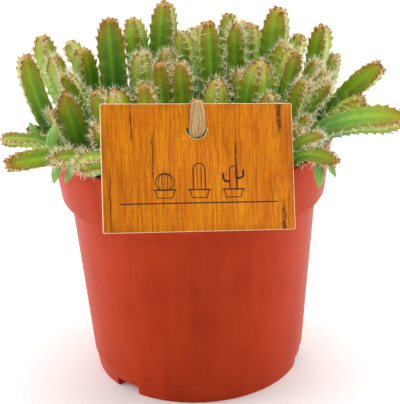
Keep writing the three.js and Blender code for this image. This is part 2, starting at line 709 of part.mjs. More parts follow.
// Needles stand on the areoles, shared out evenly over the ribs and from the foot to the tip
function addNeedles(body, stem, axis, owner, obstacles) {
  const length = axis.getLength();
  const heights = areoleHeights(stem, length).reverse();
  const wanted = stem.radius < smallStemRadius ? needlesOnSmallStem : needlesOnLargeStem;
  let solid = body;
  for (let n = 0; n < wanted; n += 1) {
    const height = heights[Math.floor((n * heights.length) / wanted)];
    for (let attempt = 0; attempt < needleTries; attempt += 1) {
      const rib = (n * 2 + attempt) % stem.ribs;
      const angle = THREE.MathUtils.degToRad(stem.turn) + (rib * 2 * Math.PI) / stem.ribs;
      const place = station(axis, length, height);
      const radius = crestRadius(stem, length, height);
      const foot = sectionPoint(place, angle, radius - needleRoot);
      const direction = sectionPoint(place, angle, 1).sub(place.point);
      direction.addScaledVector(place.along, random() * needleLift);
      direction.x += (random() - 0.5) * needleSpread;
      direction.y += (random() - 0.5) * needleSpread;
      direction.normalize();
      const reach = THREE.MathUtils.lerp(needleLength[0], needleLength[1], random()) + needleRoot;
      const tip = foot.clone().addScaledVector(direction, reach);
      const samples = needleSamples.map((share) => foot.clone().lerp(tip, share));
      if (samples.every((sample) => clearOfRest(sample, owner, obstacles))) {
        solid = solid.add(needleSolid(foot, tip));
        samples.forEach((centre) => obstacles.push({ centre, radius: needleRadius + 0.3, owner: -1 }));
        break;
      }
    }
  }
  return solid;
}

// All stems, each with its side shoot and seed leaves fused on
function makeStems() {
  const grown = stems.map((stem) => {
    const axis = makeAxis(new THREE.Vector3(...stem.base, soilTop + footHeight), stem);
    const parts = [{ stem, axis }];
    if (stem.shoot) parts.push({ stem: stem.shoot, axis: makeAxis(axis.getPointAt(shootStart), stem.shoot) });
    return parts;
  });
  const obstacles = grown.flatMap((parts, owner) => {
    return parts.flatMap((part) => ballsAlong(part.stem, part.axis, owner));
  });
  bandRoute().forEach((stop) => obstacles.push({ centre: stop.point, radius: bandWide / 2 + 1, owner: -1 }));
  return grown.map((parts, owner) => {
    const [{ stem, axis }, shoot] = parts;
    let solid = ribbedSolid(stem, axis, [-rootDepth - footHeight, footCollar]);
    if (shoot) solid = solid.add(ribbedSolid(shoot.stem, shoot.axis, [0.1]));
    for (const leaf of stem.leaves ?? []) {
      const root = axis.getPointAt(leaf.at);
      solid = solid.add(leafSolid(root, new THREE.Vector3(...leaf.tip), leaf.width));
    }
    for (const part of parts) {
      if (!stem.bare) solid = addNeedles(solid, part.stem, part.axis, owner, obstacles);
    }
    return toGeometry(solid);
  });
}

// Soil: fills the pot, with a low relief on top and a plain hole for each stem's root
function makeSoil() {
  const flat = Math.cos(Math.PI / potSides);
  const inner = (height) => potInnerRadius(height) * flat - soilGap;
  const topRadius = inner(soilTop);
  const profile = [
    [0, floorHeight + soilGap],
    [channelOuterRadius, floorHeight + soilGap],
    [inner(ledgeHeight) - 0.6, ledgeHeight + 1],
    [inner(bandFoot - 1), bandFoot + 0.4],
    [inner(bandFoot + 3), bandFoot + 3],
    [topRadius, soilTop - soilEdgeDrop],
    ...soilRings.map((share) => [share * topRadius, soilTop]).reverse(),
    [0, soilTop],
  ];
  const geometry = lathe(profile, soilSides);
  geometry.deleteAttribute('normal');
  geometry.deleteAttribute('uv');
  const merged = mergeVertices(geometry, 1e-4);
  const position = merged.attributes.position;
  for (let v = 0; v < position.count; v += 1) {
    if (position.getZ(v) > soilTop - soilEdgeDrop / 2) position.setZ(v, soilTop - random() * soilRelief);
  }
  let solid = toSolid(merged);
  for (const stem of stems) {
    const radius = (neckRadius(stem) + rootGap) / Math.cos(Math.PI / rootHoleSides);
    const bottom = soilTop - rootDepth - rootGap;
    solid = solid.subtract(upright(radius, bottom, soilTop + 2, ...stem.base, rootHoleSides));
  }
  return toGeometry(solid);
}

// Materials and the finished group
function finish(colour, roughness) {
  return new THREE.MeshStandardMaterial({ color: colour, roughness, metalness: 0 });
}

function addPart(group, name, geometry, material) {
  const mesh = new THREE.Mesh(geometry, material);
  mesh.name = name;
  group.add(mesh);
}

const plant = new THREE.Group();
addPart(plant, 'pot', makePot(), finish(0xb3442c, 0.45));
addPart(plant, 'soil', makeSoil(), finish(0x2e211a, 0.95));
makeStems().forEach((geometry, s) => {
  const name = `stem_${String(s + 1).padStart(2, '0')}`;
  addPart(plant, name, geometry, finish(0x5f9a33, 0.5));
});
addPart(plant, 'label_card', makeCard(), finish(0xd98a1e, 0.6));
addPart(plant, 'label_band', makeBand(), finish(0xd9bf92, 0.8));

export default plant;
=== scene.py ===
"""Looks of the potted dragon fruit cactus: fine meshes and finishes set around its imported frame.

Sizes are in millimetres and become metres when a mesh is made. +Z is up and -Y is the front.
"""
import math

import bmesh
import bpy
import numpy as np
from mathutils import Matrix, Vector
from mathutils.geometry import tessellate_polygon


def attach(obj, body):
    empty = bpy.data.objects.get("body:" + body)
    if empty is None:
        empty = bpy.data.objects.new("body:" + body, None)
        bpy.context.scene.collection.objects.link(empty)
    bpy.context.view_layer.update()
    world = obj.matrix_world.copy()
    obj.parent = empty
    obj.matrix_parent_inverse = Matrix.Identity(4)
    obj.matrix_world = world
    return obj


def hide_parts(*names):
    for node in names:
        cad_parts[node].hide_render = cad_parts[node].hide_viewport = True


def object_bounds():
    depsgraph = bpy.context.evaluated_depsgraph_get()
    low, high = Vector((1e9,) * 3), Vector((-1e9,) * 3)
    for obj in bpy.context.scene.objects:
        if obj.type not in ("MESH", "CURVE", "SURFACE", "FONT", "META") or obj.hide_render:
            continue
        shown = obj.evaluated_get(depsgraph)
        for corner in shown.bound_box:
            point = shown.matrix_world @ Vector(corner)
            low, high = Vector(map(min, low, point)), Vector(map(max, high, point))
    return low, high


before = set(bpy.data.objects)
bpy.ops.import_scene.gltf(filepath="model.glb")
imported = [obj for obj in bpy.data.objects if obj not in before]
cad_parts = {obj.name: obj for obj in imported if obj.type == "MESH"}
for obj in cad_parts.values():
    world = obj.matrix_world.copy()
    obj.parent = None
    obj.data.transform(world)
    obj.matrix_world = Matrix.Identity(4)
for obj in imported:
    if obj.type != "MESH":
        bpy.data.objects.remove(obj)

cad_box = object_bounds()
MM = 0.001
SEED = 20417
SOIL_SEED = SEED + 500
RELIEF_SEED = SEED + 510
BAND_SEED = SEED + 900

# Camera, fitted to the photograph's frame
PHOTO_LONG_SIDE = 404
FOCAL_PIXELS = 1580.3
SENSOR = 36.0
CAMERA_DISTANCE = 755.4
CAMERA_ELEVATION = 25.893
CAMERA_PIVOT_HEIGHT = 60.0
CAMERA_AIM = (2.943, 0.0, 80.45)
CAMERA_ROLL = -1.917

# Surroundings: where along the view the light changes, from front to back, and how bright it is there
WORLD_STRENGTH = 0.85
WORLD_FRONT = (0.15, (0.32, 0.32, 0.32, 1))
WORLD_BACK = (0.5, (1, 1, 1, 1))

# Softboxes and floor in metres. A softbox has its place, the point it looks at, its size and its power.
SOFTBOXES = {
    "left_softbox": ((-0.62, -0.02, 0.26), (0, 0, 0.09), (0.5, 0.6), 2.6),
    "right_softbox": ((0.62, 0.02, 0.26), (0, 0, 0.09), (0.5, 0.6), 2.3),
    "top_softbox": ((0.05, 0.1, 0.8), (0, 0, 0.13), (0.6, 0.5), 3.0),
}
FLOOR_REACH = 3.0

# Pot
POT_HEIGHT = 116.0
RIM_RADIUS = 65.0
RIM_BAND_HEIGHT = 26.4
RIM_BAND_FOOT_RADIUS = 61.6
WALL_TOP_RADIUS = 57.6
FOOT_RADIUS = 48.8
LEDGE_HEIGHT = 8.4
LEDGE_RADIUS = 50.2
LEDGE_STEP = 0.4
POT_WALL = 1.2
BAND_FOOT = POT_HEIGHT - RIM_BAND_HEIGHT
PAD_RADIUS = 14.0
CHANNEL_HEIGHT = 4.6
CHANNEL_INNER_RADIUS = 15.5
CHANNEL_OUTER_RADIUS = 43.5
FOOT_RING_INNER_RADIUS = 45.0
FLOOR_HEIGHT = 6.0
FLOOR_THICKNESS = 1.5
DRAIN_HOLE_RADIUS = 4.0
DRAIN_HOLE_CIRCLE = 30.0
DRAIN_HOLE_COUNT = 6
FOOT_GAP_ANGLES = (-44.0, 76.0, 196.0)
FOOT_GAP_WIDTH = 16.0
POT_SIDES = 192
ROUND_STEPS = 4

# Soil
SOIL_TOP = 104.0
SOIL_GAP = 0.3
SOIL_SIDES = 220
SOIL_RINGS = 90
SOIL_RELIEF = 1.3
CRUMB_COUNT = 1500
CRUMB_SIZE = (0.5, 1.7)
FIBRE_COUNT = 260
RELIEF_SPAN = 160

# Stems
NECK_SHARE = 0.55
NECK_LEAST = 2.3
TIP_LENGTH = 1.6
TIP_TOP_SHARE = 0.42
TIP_ROUNDING = 0.35
VALLEY_SHARE = {3: 0.46, 4: 0.62, 5: 0.74}
ROOT_DEPTH = 8.0
FOOT_HEIGHT = 1.0
SHOOT_START = 0.12
BARE_FOOT = 7.0
RIB_COLUMNS = 12
ROW_STEP = 0.8
DOME_ROWS = 13
CREST_ROUNDING = 4.5
FACE_RUN = 46.0
TIP_BLUSH = 5.5
FULL_RADIUS = 5.5
SLIM_RADIUS = 4.5
YOUNG_REACH = 9
CROWN_NUBS = 11
TOOTH_DEPTH = 0.75
TOOTH_WIDTH = 13.0
BEAD_DROP = 0.35
BEAD_LENGTH = 0.62
BEAD_HEIGHT = 0.22
AREOLE_SIZE = 0.42
CUSHION_SIDES = 6
BRISTLE_RADIUS = 0.068
BRISTLE_LENGTHS = (2.0, 5.0)
BRISTLES_LEAST = 1.5
BRISTLES_HAIRY = 6
BRISTLES_WOOLLY = 11

# Room that bristles leave: to other stems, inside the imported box, over the soil, in and over a zone round
# the rim, and to the card
BRISTLE_CLEARANCE = 0.2
BOX_ROOM = 0.15
SOIL_ROOM = 0.3
RIM_ZONE = (5.2, 0.5)
RIM_ROOM = 0.4
CARD_ROOM = 0.25
NEIGHBOUR_REACH = 14

# Seed leaves
LEAF_ROWS = 22
LEAF_COLUMNS = 16
LEAF_DEPTH = 0.78
LEAF_SAG = 0.2

# Materials of a stem's faces and of the card's faces
SKIN, WOOL, BRISTLE, LEAF = range(4)
PRINT, BOARD, INK = range(3)

# Card and raffia band
CARD_CENTRE = np.array((2.7, -63.0, 125.3))
CARD_WIDTH = 83.9
CARD_HEIGHT = 54.5
CARD_THICKNESS = 0.8
CARD_TURN = 15.1
CARD_LEAN = 26.25
CARD_ROLL = -7.1
CARD_CORNER = 0.8
CARD_BORDER = 0.22
CARD_LIP = 0.06
SLOT_CENTRE = (-0.5, 16.7)
SLOT_RADIUS = 4.6
SLOT_OPENING = 2.6
SLOT_HORN_DROP = 0.6
SLOT_STEPS = 24
INK_HEIGHT = 0.03
INK_ROOT = 0.05
BAND_THICKNESS = 0.7
BAND_WIDE = 7.2
BAND_MIDDLE = 6.2
BAND_NARROW = 4.8
BAND_GAP = 0.35
BAND_SLACK = 0.25
BAND_ROWS = 220
BAND_COLUMNS = 25


# Stems: base, tip, radius over the crests, ribs and angle of one crest from the front, as in the packed
# part. reach and rise bend the stem, swell is the share of its length over which it widens from its neck,
# hair is how many bristles it has, fuzz how woolly its tip is, blush how orange its margins are, and tone
# how yellow its faces are.
def stem(base, tip, radius, ribs, turn, reach=0.3, rise=0.6, swell=0.36, shoot=None, leaves=(),
         hair=0.7, fuzz=0.5, blush=0.6, tone=0.0, bare=False):
    return {"base": base, "tip": tip, "radius": radius, "ribs": ribs, "turn": turn, "reach": reach,
            "rise": rise, "swell": swell, "shoot": shoot, "leaves": leaves, "hair": hair, "fuzz": fuzz,
            "blush": blush, "tone": tone, "bare": bare}


def side_shoot(*shape, **looks):
    return stem(None, *shape, swell=0.5, **looks)


STEMS = [
    # Left side, in front, leaning out over the rim
    stem((-42, -34), (-80, -56, 126.3), 5.8, 4, -20, reach=0, rise=1.08, swell=0.6,
         hair=0.4, fuzz=0.2, blush=0.7, tone=0.5,
         leaves=[(0.62, (-59.4, -38, 137.4), 5)]),
    stem((-49, -27), (-84.2, -31, 128.2), 3.25, 4, 10, reach=0.05, rise=0.92, swell=0.5,
         hair=0.5, blush=0.4, tone=0.3,
         leaves=[(0.62, (-71.5, -27, 134.5), 3.6)]),
    stem((-37.7, -38.9), (-60.7, -54.6, 127.6), 4.03, 4, 0, reach=0.04, rise=0.9, swell=0.5,
         hair=1.3, fuzz=1, blush=0.3,
         leaves=[(0.9, (-60.6, -50, 114.4), 4), (0.68, (-55.6, -50, 114.6), 3.8)]),
    stem((-32.2, -44.1), (-49.6, -60, 125.7), 4.03, 4, 30, reach=0, rise=1.2, swell=0.5,
         hair=1.4, fuzz=1, blush=0.5,
         leaves=[(0.45, (-45.5, -53, 118.8), 3.8)]),
    stem((-31, -34), (-41, -46, 139), 4.26, 4, 15, swell=0.5, hair=1.5, fuzz=0.9, blush=0.5, tone=-0.2),
    stem((-49, -15.5), (-55.2, -28, 147.6), 6.61, 3, 64, reach=0.4, rise=0.55,
         hair=0.5, fuzz=0.8, blush=0.8, tone=0.2,
         shoot=side_shoot((-61.4, -27.9, 140.2), 3.39, 3, 0, reach=0.67, rise=0.57, hair=1.3, fuzz=0.9)),
    # Left side, upright
    stem((-50, -2.6), (-71.4, -21.9, 163.8), 6.6, 4, -30, reach=0.89, rise=0.42,
         hair=0.45, fuzz=0.6, blush=0.7, tone=0.1,
         shoot=side_shoot((-73.6, -22, 127.4), 3.29, 3, 20, rise=0.8, hair=0.5, blush=1, tone=-0.2)),
    stem((-45.1, 21.2), (-68, 24.9, 157.2), 5.89, 5, 8, reach=0.94, rise=0.49,
         hair=1.3, fuzz=0.6, tone=0.3),
    stem((-39, 36), (-58, 44, 147), 5.1, 4, 30, hair=1.6, fuzz=1, blush=0.3, tone=0.4),
    stem((-44.5, 8), (-61.9, 9, 152.5), 4.48, 4, 12, reach=0.89, rise=0.59,
         hair=1.1, fuzz=0.7, blush=0.7),
    stem((-42.7, 14.1), (-48.8, 17.3, 152.8), 6.42, 4, -8, reach=1, rise=0.48, fuzz=0.4, blush=0.9),
    stem((-41, -4), (-57, -6, 149), 4.26, 4, 40, hair=1.5, fuzz=1, blush=0.5),
    # Middle, behind the card's top edge
    stem((-32, -24), (-42, -28, 148), 5.6, 4, 38, hair=0.9, fuzz=1, blush=0.4, tone=0.6),
    stem((-25, -33), (-33, -36, 151.3), 5.6, 4, 8, hair=0.9, fuzz=1, blush=0.4, tone=0.6),
    stem((-16, -31), (-20, -34, 153), 6.38, 4, 40, fuzz=0.9, blush=0.9, tone=0.2),
    stem((-10, -18), (-13, -18, 157), 6.16, 4, 40, hair=0.6, blush=1),
    stem((-2, -22), (-4, -22, 158), 5.94, 4, 44, hair=0.6, fuzz=1, blush=0.7, tone=0.2),
    stem((10, -32), (12, -34, 154), 5.6, 4, 2, hair=0.8, fuzz=1, tone=0.4),
    stem((25, -21), (32, -24, 158), 7.39, 4, -6, hair=0.6, fuzz=0.9, blush=0.8,
         shoot=side_shoot((22, -15, 151), 3.39, 3, 20, reach=0.6, hair=1.3)),
    stem((29, -32), (35, -36, 147), 4.93, 4, 10, hair=0.9, fuzz=1, blush=0.5, tone=0.5),
    # Middle rows
    stem((-34, 8), (-36, 12, 169), 7.66, 3, 62, hair=0.4, fuzz=0.3, blush=0.9, tone=-0.2),
    stem((-22, 26), (-26, 32, 162), 6.5, 5, 20, hair=0.8, fuzz=0.2, blush=0.4, tone=0.2),
    stem((-20, -6), (-21.5, -2, 156.5), 5.57, 5, 0, hair=1.5, fuzz=1, blush=0.5),
    stem((-14, 18), (-10, 24, 172), 7.6, 4, 30, hair=0.4, fuzz=0.3, blush=0.8, tone=-0.1),
    stem((-8, 2), (-10, 4, 155), 5.34, 4, 15, hair=1.6, fuzz=1, blush=0.4),
    stem((4, 8), (-3.5, 16, 160), 5.2, 4, 20, hair=1.4, fuzz=0.9),
    stem((10, -4), (9, 2, 169), 6.38, 4, -35, hair=0.5, fuzz=0.4, blush=1, tone=0.1),
    stem((21, 10), (22, 14, 163), 5.57, 4, 42, hair=1.6, fuzz=0.6, blush=0.5, tone=0.2),
    stem((28, 24), (30, 30, 158), 5.57, 4, 5, hair=0.8, fuzz=0.4, blush=1),
    stem((36, 12), (42, 16, 170), 8, 4, 30, hair=0.45, fuzz=0.3, blush=0.8, tone=0.4),
    stem((32, 0), (44, 2, 157), 5.1, 4, 20, hair=1.2, fuzz=0.8, tone=0.4),
    stem((37, -9), (48, -10, 158), 5.82, 4, -35, hair=0.6, fuzz=0.9, blush=0.9),
    # Back rows
    stem((6, 38), (4, 46, 152), 5.8, 5, 10, hair=1.3, fuzz=0.8, blush=0.4, tone=0.1),
    stem((16, 34), (20, 40, 160), 5.57, 4, 30, hair=1.4, fuzz=0.7, blush=0.5, tone=0.4),
    stem((26, 44), (27, 50, 153), 4.87, 4, 20, hair=1.3, fuzz=0.7, blush=0.7),
    stem((42, 34), (54, 38, 149), 5.34, 4, 10, hair=1, fuzz=0.6, tone=0.2),
    stem((46.9, 19.8), (62.8, 22, 158.4), 6.21, 4, 15, reach=0.71, rise=0.33,
         hair=0.9, fuzz=0.6, tone=0.3),
    stem((-16, 42), (-17, 52, 138), 5.6, 4, 25, hair=0.8, blush=0.7),
    stem((-2, 53), (-4, 64, 131), 5.6, 4, 5, tone=0.3),
    stem((14, 52), (17, 62, 128), 5.6, 4, 35, hair=0.9, fuzz=0.6, blush=0.8),
    stem((34, 44), (47, 52, 135), 5.38, 3, 180, tone=0.2),
    stem((-28, 46), (-41, 54, 135), 5.38, 3, 170, hair=1, fuzz=0.7, blush=0.7),
    # Right side, upright
    stem((36, -20.6), (50.5, -24, 149), 4.45, 4, 20, reach=0.6, hair=1.1, fuzz=0.8, tone=0.5),
    stem((46, 8.5), (59.2, 8.3, 145.9), 4.26, 4, 5, reach=0.6, rise=0.65,
         hair=1.6, fuzz=1, blush=0.5, tone=0.4),
    stem((42, -2), (61.6, -8.7, 147), 4.26, 4, 25, reach=0.6, hair=1.5, fuzz=1, blush=0.5, tone=0.5),
    stem((42.6, -11.8), (62, -22, 146), 3.81, 4, 40, hair=1.3, fuzz=0.9, blush=0.8),
    stem((37.6, -27.8), (52.3, -29.5, 133), 3.5, 4, 10, swell=0.5, hair=1.1, fuzz=0.7, tone=0.3),
    stem((35.8, -33.3), (47.3, -38, 131.6), 3.82, 4, 45, swell=0.5, hair=0.9, fuzz=0.9, tone=0.4),
    # Right side, leaning out over the rim
    stem((49.3, 2.5), (86.3, -11, 150), 7.3, 4, 20, reach=0.38, rise=0.5, swell=1,
         hair=0.5, fuzz=0.3, tone=0.5,
         shoot=side_shoot((66.9, 2.5, 151.2), 3.51, 3, 10, reach=0.9, rise=0.42, hair=1.5, fuzz=0.9)),
    stem((49.6, -8.2), (79, -17, 135.3), 6.18, 4, 40, reach=0.47, rise=0.78, swell=0.95,
         hair=0.6, fuzz=1, blush=0.9, tone=0.1),
    stem((45.6, -30.6), (90.5, -54, 140.2), 7.4, 4, 0, reach=0.02, rise=0.86, swell=0.9,
         hair=0.6, fuzz=0.3, tone=0.4),
    stem((41.7, -39), (62.5, -54.5, 121.4), 4.97, 4, 25, reach=0, rise=1.42, swell=0.8,
         fuzz=0.7, blush=0.9,
         shoot=side_shoot((56.5, -50, 132), 3.15, 3, 30, reach=0.15, rise=0.9, hair=1.4, fuzz=0.8),
         leaves=[(0.75, (54.4, -56, 110.8), 4.6), (0.85, (61.8, -54, 114.6), 3)]),
    # Short stems hidden behind the card; the middle one carries the raffia band
    stem((-14, -46), (-18, -46, 132), 4.6, 4, 30, swell=0.5),
    stem((4, -43), (5, -42, 144), 4.2, 4, 45, swell=0.5, hair=0.5, bare=True),
    stem((20, -42), (25, -42, 129), 4.8, 4, 15, swell=0.5),
]


def linked(name, data):
    """A new object for the data, linked to the scene."""
    made = bpy.data.objects.new(name, data)
    bpy.context.scene.collection.objects.link(made)
    return made


def rolled(level, upright, degrees):
    """Two directions at right angles, both turned in their own plane."""
    angle = math.radians(degrees)
    return (level * math.cos(angle) + upright * math.sin(angle),
            upright * math.cos(angle) - level * math.sin(angle))


def camera():
    elevation = math.radians(CAMERA_ELEVATION)
    place = Vector((0, -CAMERA_DISTANCE * math.cos(elevation),
                    CAMERA_DISTANCE * math.sin(elevation) + CAMERA_PIVOT_HEIGHT))
    look = (Vector(CAMERA_AIM) - place).normalized()
    level = look.cross(Vector((0, 0, 1))).normalized()
    upright = level.cross(look)
    right, above = rolled(level, upright, CAMERA_ROLL)
    data = bpy.data.cameras.new("camera")
    data.sensor_width = SENSOR
    data.lens = FOCAL_PIXELS * SENSOR / PHOTO_LONG_SIDE
    data.clip_start = 0.05
    data.clip_end = 20
    made = linked("camera", data)
    turn = Matrix((right, above, -look)).transposed().to_4x4()
    made.matrix_world = Matrix.Translation(place * MM) @ turn
    bpy.context.scene.camera = made


def unit(vectors):
    vectors = np.asarray(vectors, float)
    return vectors / np.maximum(np.linalg.norm(vectors, axis=-1, keepdims=True), 1e-9)


def smooth(value, low, high):
    share = np.clip((np.asarray(value, float) - low) / (high - low), 0, 1)
    return share * share * (3 - 2 * share)


def grid_quads(rows, columns):
    """Faces between neighbouring rows of points, each row closed on itself."""
    row, column = np.meshgrid(np.arange(rows - 1), np.arange(columns), indexing="ij")
    after = (column + 1) % columns
    corners = (row * columns + column, row * columns + after, (row + 1) * columns + after,
               (row + 1) * columns + column)
    return np.stack(corners, -1).reshape(-1, 4)


def fan(centre, ring, flip=False):
    """Triangles from a centre point to a closed ring of points."""
    ring = np.asarray(ring)
    after = np.roll(ring, -1)
    centres = np.full(len(ring), centre)
    return np.stack((centres, after, ring) if flip else (centres, ring, after), -1)


def full_turn(count):
    """Angles that go once round in equal steps."""
    return np.arange(count) * 2 * math.pi / count


def spokes(ahead, side, angles):
    """For each pair of directions, the directions at all the angles from ahead towards the side."""
    return ahead[:, None] * np.cos(angles)[None, :, None] + side[:, None] * np.sin(angles)[None, :, None]


def bell(distance):
    return np.exp(-(distance ** 2))


def copies(faces, count, size):
    """The faces of one small body for a row of such bodies with so many points each."""
    faces = np.asarray(faces)
    return (faces[None] + np.arange(count)[:, None, None] * size).reshape(-1, faces.shape[-1])


class Solid:
    """Collects points and faces in millimetres, with a material number a face and masks for each point."""

    def __init__(self):
        self.points = []
        self.quads = []
        self.triangles = []
        self.quad_finish = []
        self.triangle_finish = []
        self.masks = []
        self.count = 0

    def add(self, points, quads=(), triangles=(), finish=0, **masks):
        points = np.asarray(points, float).reshape(-1, 3)
        for faces, store, finishes, size in ((quads, self.quads, self.quad_finish, 4),
                                             (triangles, self.triangles, self.triangle_finish, 3)):
            faces = np.asarray(faces, int).reshape(-1, size)
            store.append(faces + self.count)
            finishes.append(np.full(len(faces), finish))
        self.points.append(points)
        self.masks.append({name: np.broadcast_to(value, len(points)) for name, value in masks.items()})
        self.count += len(points)

    def tube(self, rings, ends, finish=0, **masks):
        """Adds rings of points that a point closes at each end. A mask is a number, or values over the
        rings with the values at the two ends."""
        rows, columns = rings.shape[:2]
        count = rows * columns
        caps = np.concatenate((fan(count, np.arange(columns), flip=True),
                               fan(count + 1, count - columns + np.arange(columns))))
        flat = {name: mask if np.isscalar(mask)
                else np.append(np.broadcast_to(mask[0], (rows, columns)).ravel(), mask[1])
                for name, mask in masks.items()}
        points = np.concatenate((rings.reshape(-1, 3), ends))
        self.add(points, grid_quads(rows, columns), caps, finish, **flat)

    def mesh(self, name, smooth_angle=40):
        points = np.concatenate(self.points) * MM
        quads = np.concatenate(self.quads)
        triangles = np.concatenate(self.triangles)
        made = bpy.data.meshes.new(name)
        made.vertices.add(len(points))
        made.vertices.foreach_set("co", points.astype(np.float32).ravel())
        corners = np.concatenate((quads.ravel(), triangles.ravel())).astype(np.int32)
        made.loops.add(len(corners))
        made.loops.foreach_set("vertex_index", corners)
        starts = np.concatenate((np.arange(len(quads)) * 4, len(quads) * 4 + np.arange(len(triangles)) * 3))
        made.polygons.add(len(starts))
        made.polygons.foreach_set("loop_start", starts.astype(np.int32))
        finishes = np.concatenate(self.quad_finish + self.triangle_finish)
        made.polygons.foreach_set("material_index", finishes.astype(np.int32))
        made.update(calc_edges=True)
        names = sorted({mask for masks in self.masks for mask in masks})
        for mask in names:
            parts = [m.get(mask, np.zeros(len(p))) for m, p in zip(self.masks, self.points)]
            layer = made.attributes.new(mask, "FLOAT", "POINT")
            layer.data.foreach_set("value", np.concatenate(parts).astype(np.float32))
        made.shade_smooth()
        made.set_sharp_from_angle(angle=math.radians(smooth_angle))
        return made


def place_piece(name, mesh, materials, nodes):
    """Puts a finished mesh into the scene as a piece that stands for the named nodes."""
    made = linked(name, mesh)
    for material in materials:
        made.data.materials.append(material)
    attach(made, "root")
    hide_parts(*nodes)
    return made


def linear(code):
    """A screen colour, written #rrggbb, as the shader's linear colour."""
    parts = [int(code[at:at + 2], 16) / 255 for at in (1, 3, 5)]
    return (*[p / 12.92 if p <= 0.04045 else ((p + 0.055) / 1.055) ** 2.4 for p in parts], 1.0)


class Value:
    """A node's output. Arithmetic with it adds Math nodes."""

    def __init__(self, nodes, socket):
        self.nodes = nodes
        self.socket = socket

    def __add__(self, other):
        return self.nodes.math("ADD", self, other)

    def __sub__(self, other):
        return self.nodes.math("SUBTRACT", self, other)

    def __mul__(self, other):
        return self.nodes.math("MULTIPLY", self, other)

    def __truediv__(self, other):
        return self.nodes.math("DIVIDE", self, other)

    def __pow__(self, other):
        return self.nodes.math("POWER", self, other)

    def __abs__(self):
        return self.nodes.math("ABSOLUTE", self)

    def clamped(self):
        self.socket.node.use_clamp = True
        return self


class Nodes:
    """Builds one material's nodes. A socket takes a number, a colour or another node's value."""

    def __init__(self, name):
        self.material = bpy.data.materials.new(name)
        self.material.use_nodes = True
        self.tree = self.material.node_tree
        self.tree.nodes.clear()
        place = self.add("TexCoord", output="Object")
        self.place = self.add("VectorMath", {0: place, "Scale": 1 / MM}, operation="SCALE")

    def add(self, kind, sockets=None, output=0, **settings):
        node = self.tree.nodes.new("ShaderNode" + kind)
        for setting, value in settings.items():
            setattr(node, setting, value)
        for socket, value in (sockets or {}).items():
            if isinstance(value, Value):
                self.tree.links.new(value.socket, node.inputs[socket])
            else:
                node.inputs[socket].default_value = linear(value) if isinstance(value, str) else value
        return Value(self, node.outputs[output])

    def mask(self, name):
        return self.add("Attribute", output="Fac", attribute_name=name)

    def math(self, operation, first, second=0.0):
        return self.add("Math", {0: first, 1: second}, operation=operation)

    def mix(self, share, first, second, blend="MIX"):
        return self.add("Mix", {0: share, 6: first, 7: second}, 2, data_type="RGBA", blend_type=blend)

    def ramp(self, value, *stops):
        """A ramp through stops, each a position with a colour or a grey."""
        made = self.add("ValToRGB", {0: value})
        elements = made.socket.node.color_ramp.elements
        while len(elements) < len(stops):
            elements.new(0.5)
        for element, (position, colour) in zip(elements, stops):
            element.position = position
            element.color = linear(colour) if isinstance(colour, str) else (colour, colour, colour, 1)
        return made

    def stretched(self, x, y, z, place=None):
        return self.add("Mapping", {"Vector": place or self.place, "Scale": (x, y, z)})

    def noise(self, scale, detail=2.0, roughness=0.5, place=None):
        return self.add("TexNoise", {"Vector": place or self.place, "Scale": scale, "Detail": detail,
                                     "Roughness": roughness})

    def bump(self, height, distance, strength=1.0):
        return self.add("Bump", {"Height": height, "Distance": distance * MM, "Strength": strength})

    def surface(self, **sockets):
        named = {name.replace("_", " "): value for name, value in sockets.items()}
        shader = self.add("BsdfPrincipled", named)
        output = self.tree.nodes.new("ShaderNodeOutputMaterial")
        self.tree.links.new(shader.socket, output.inputs[0])
        return self.material


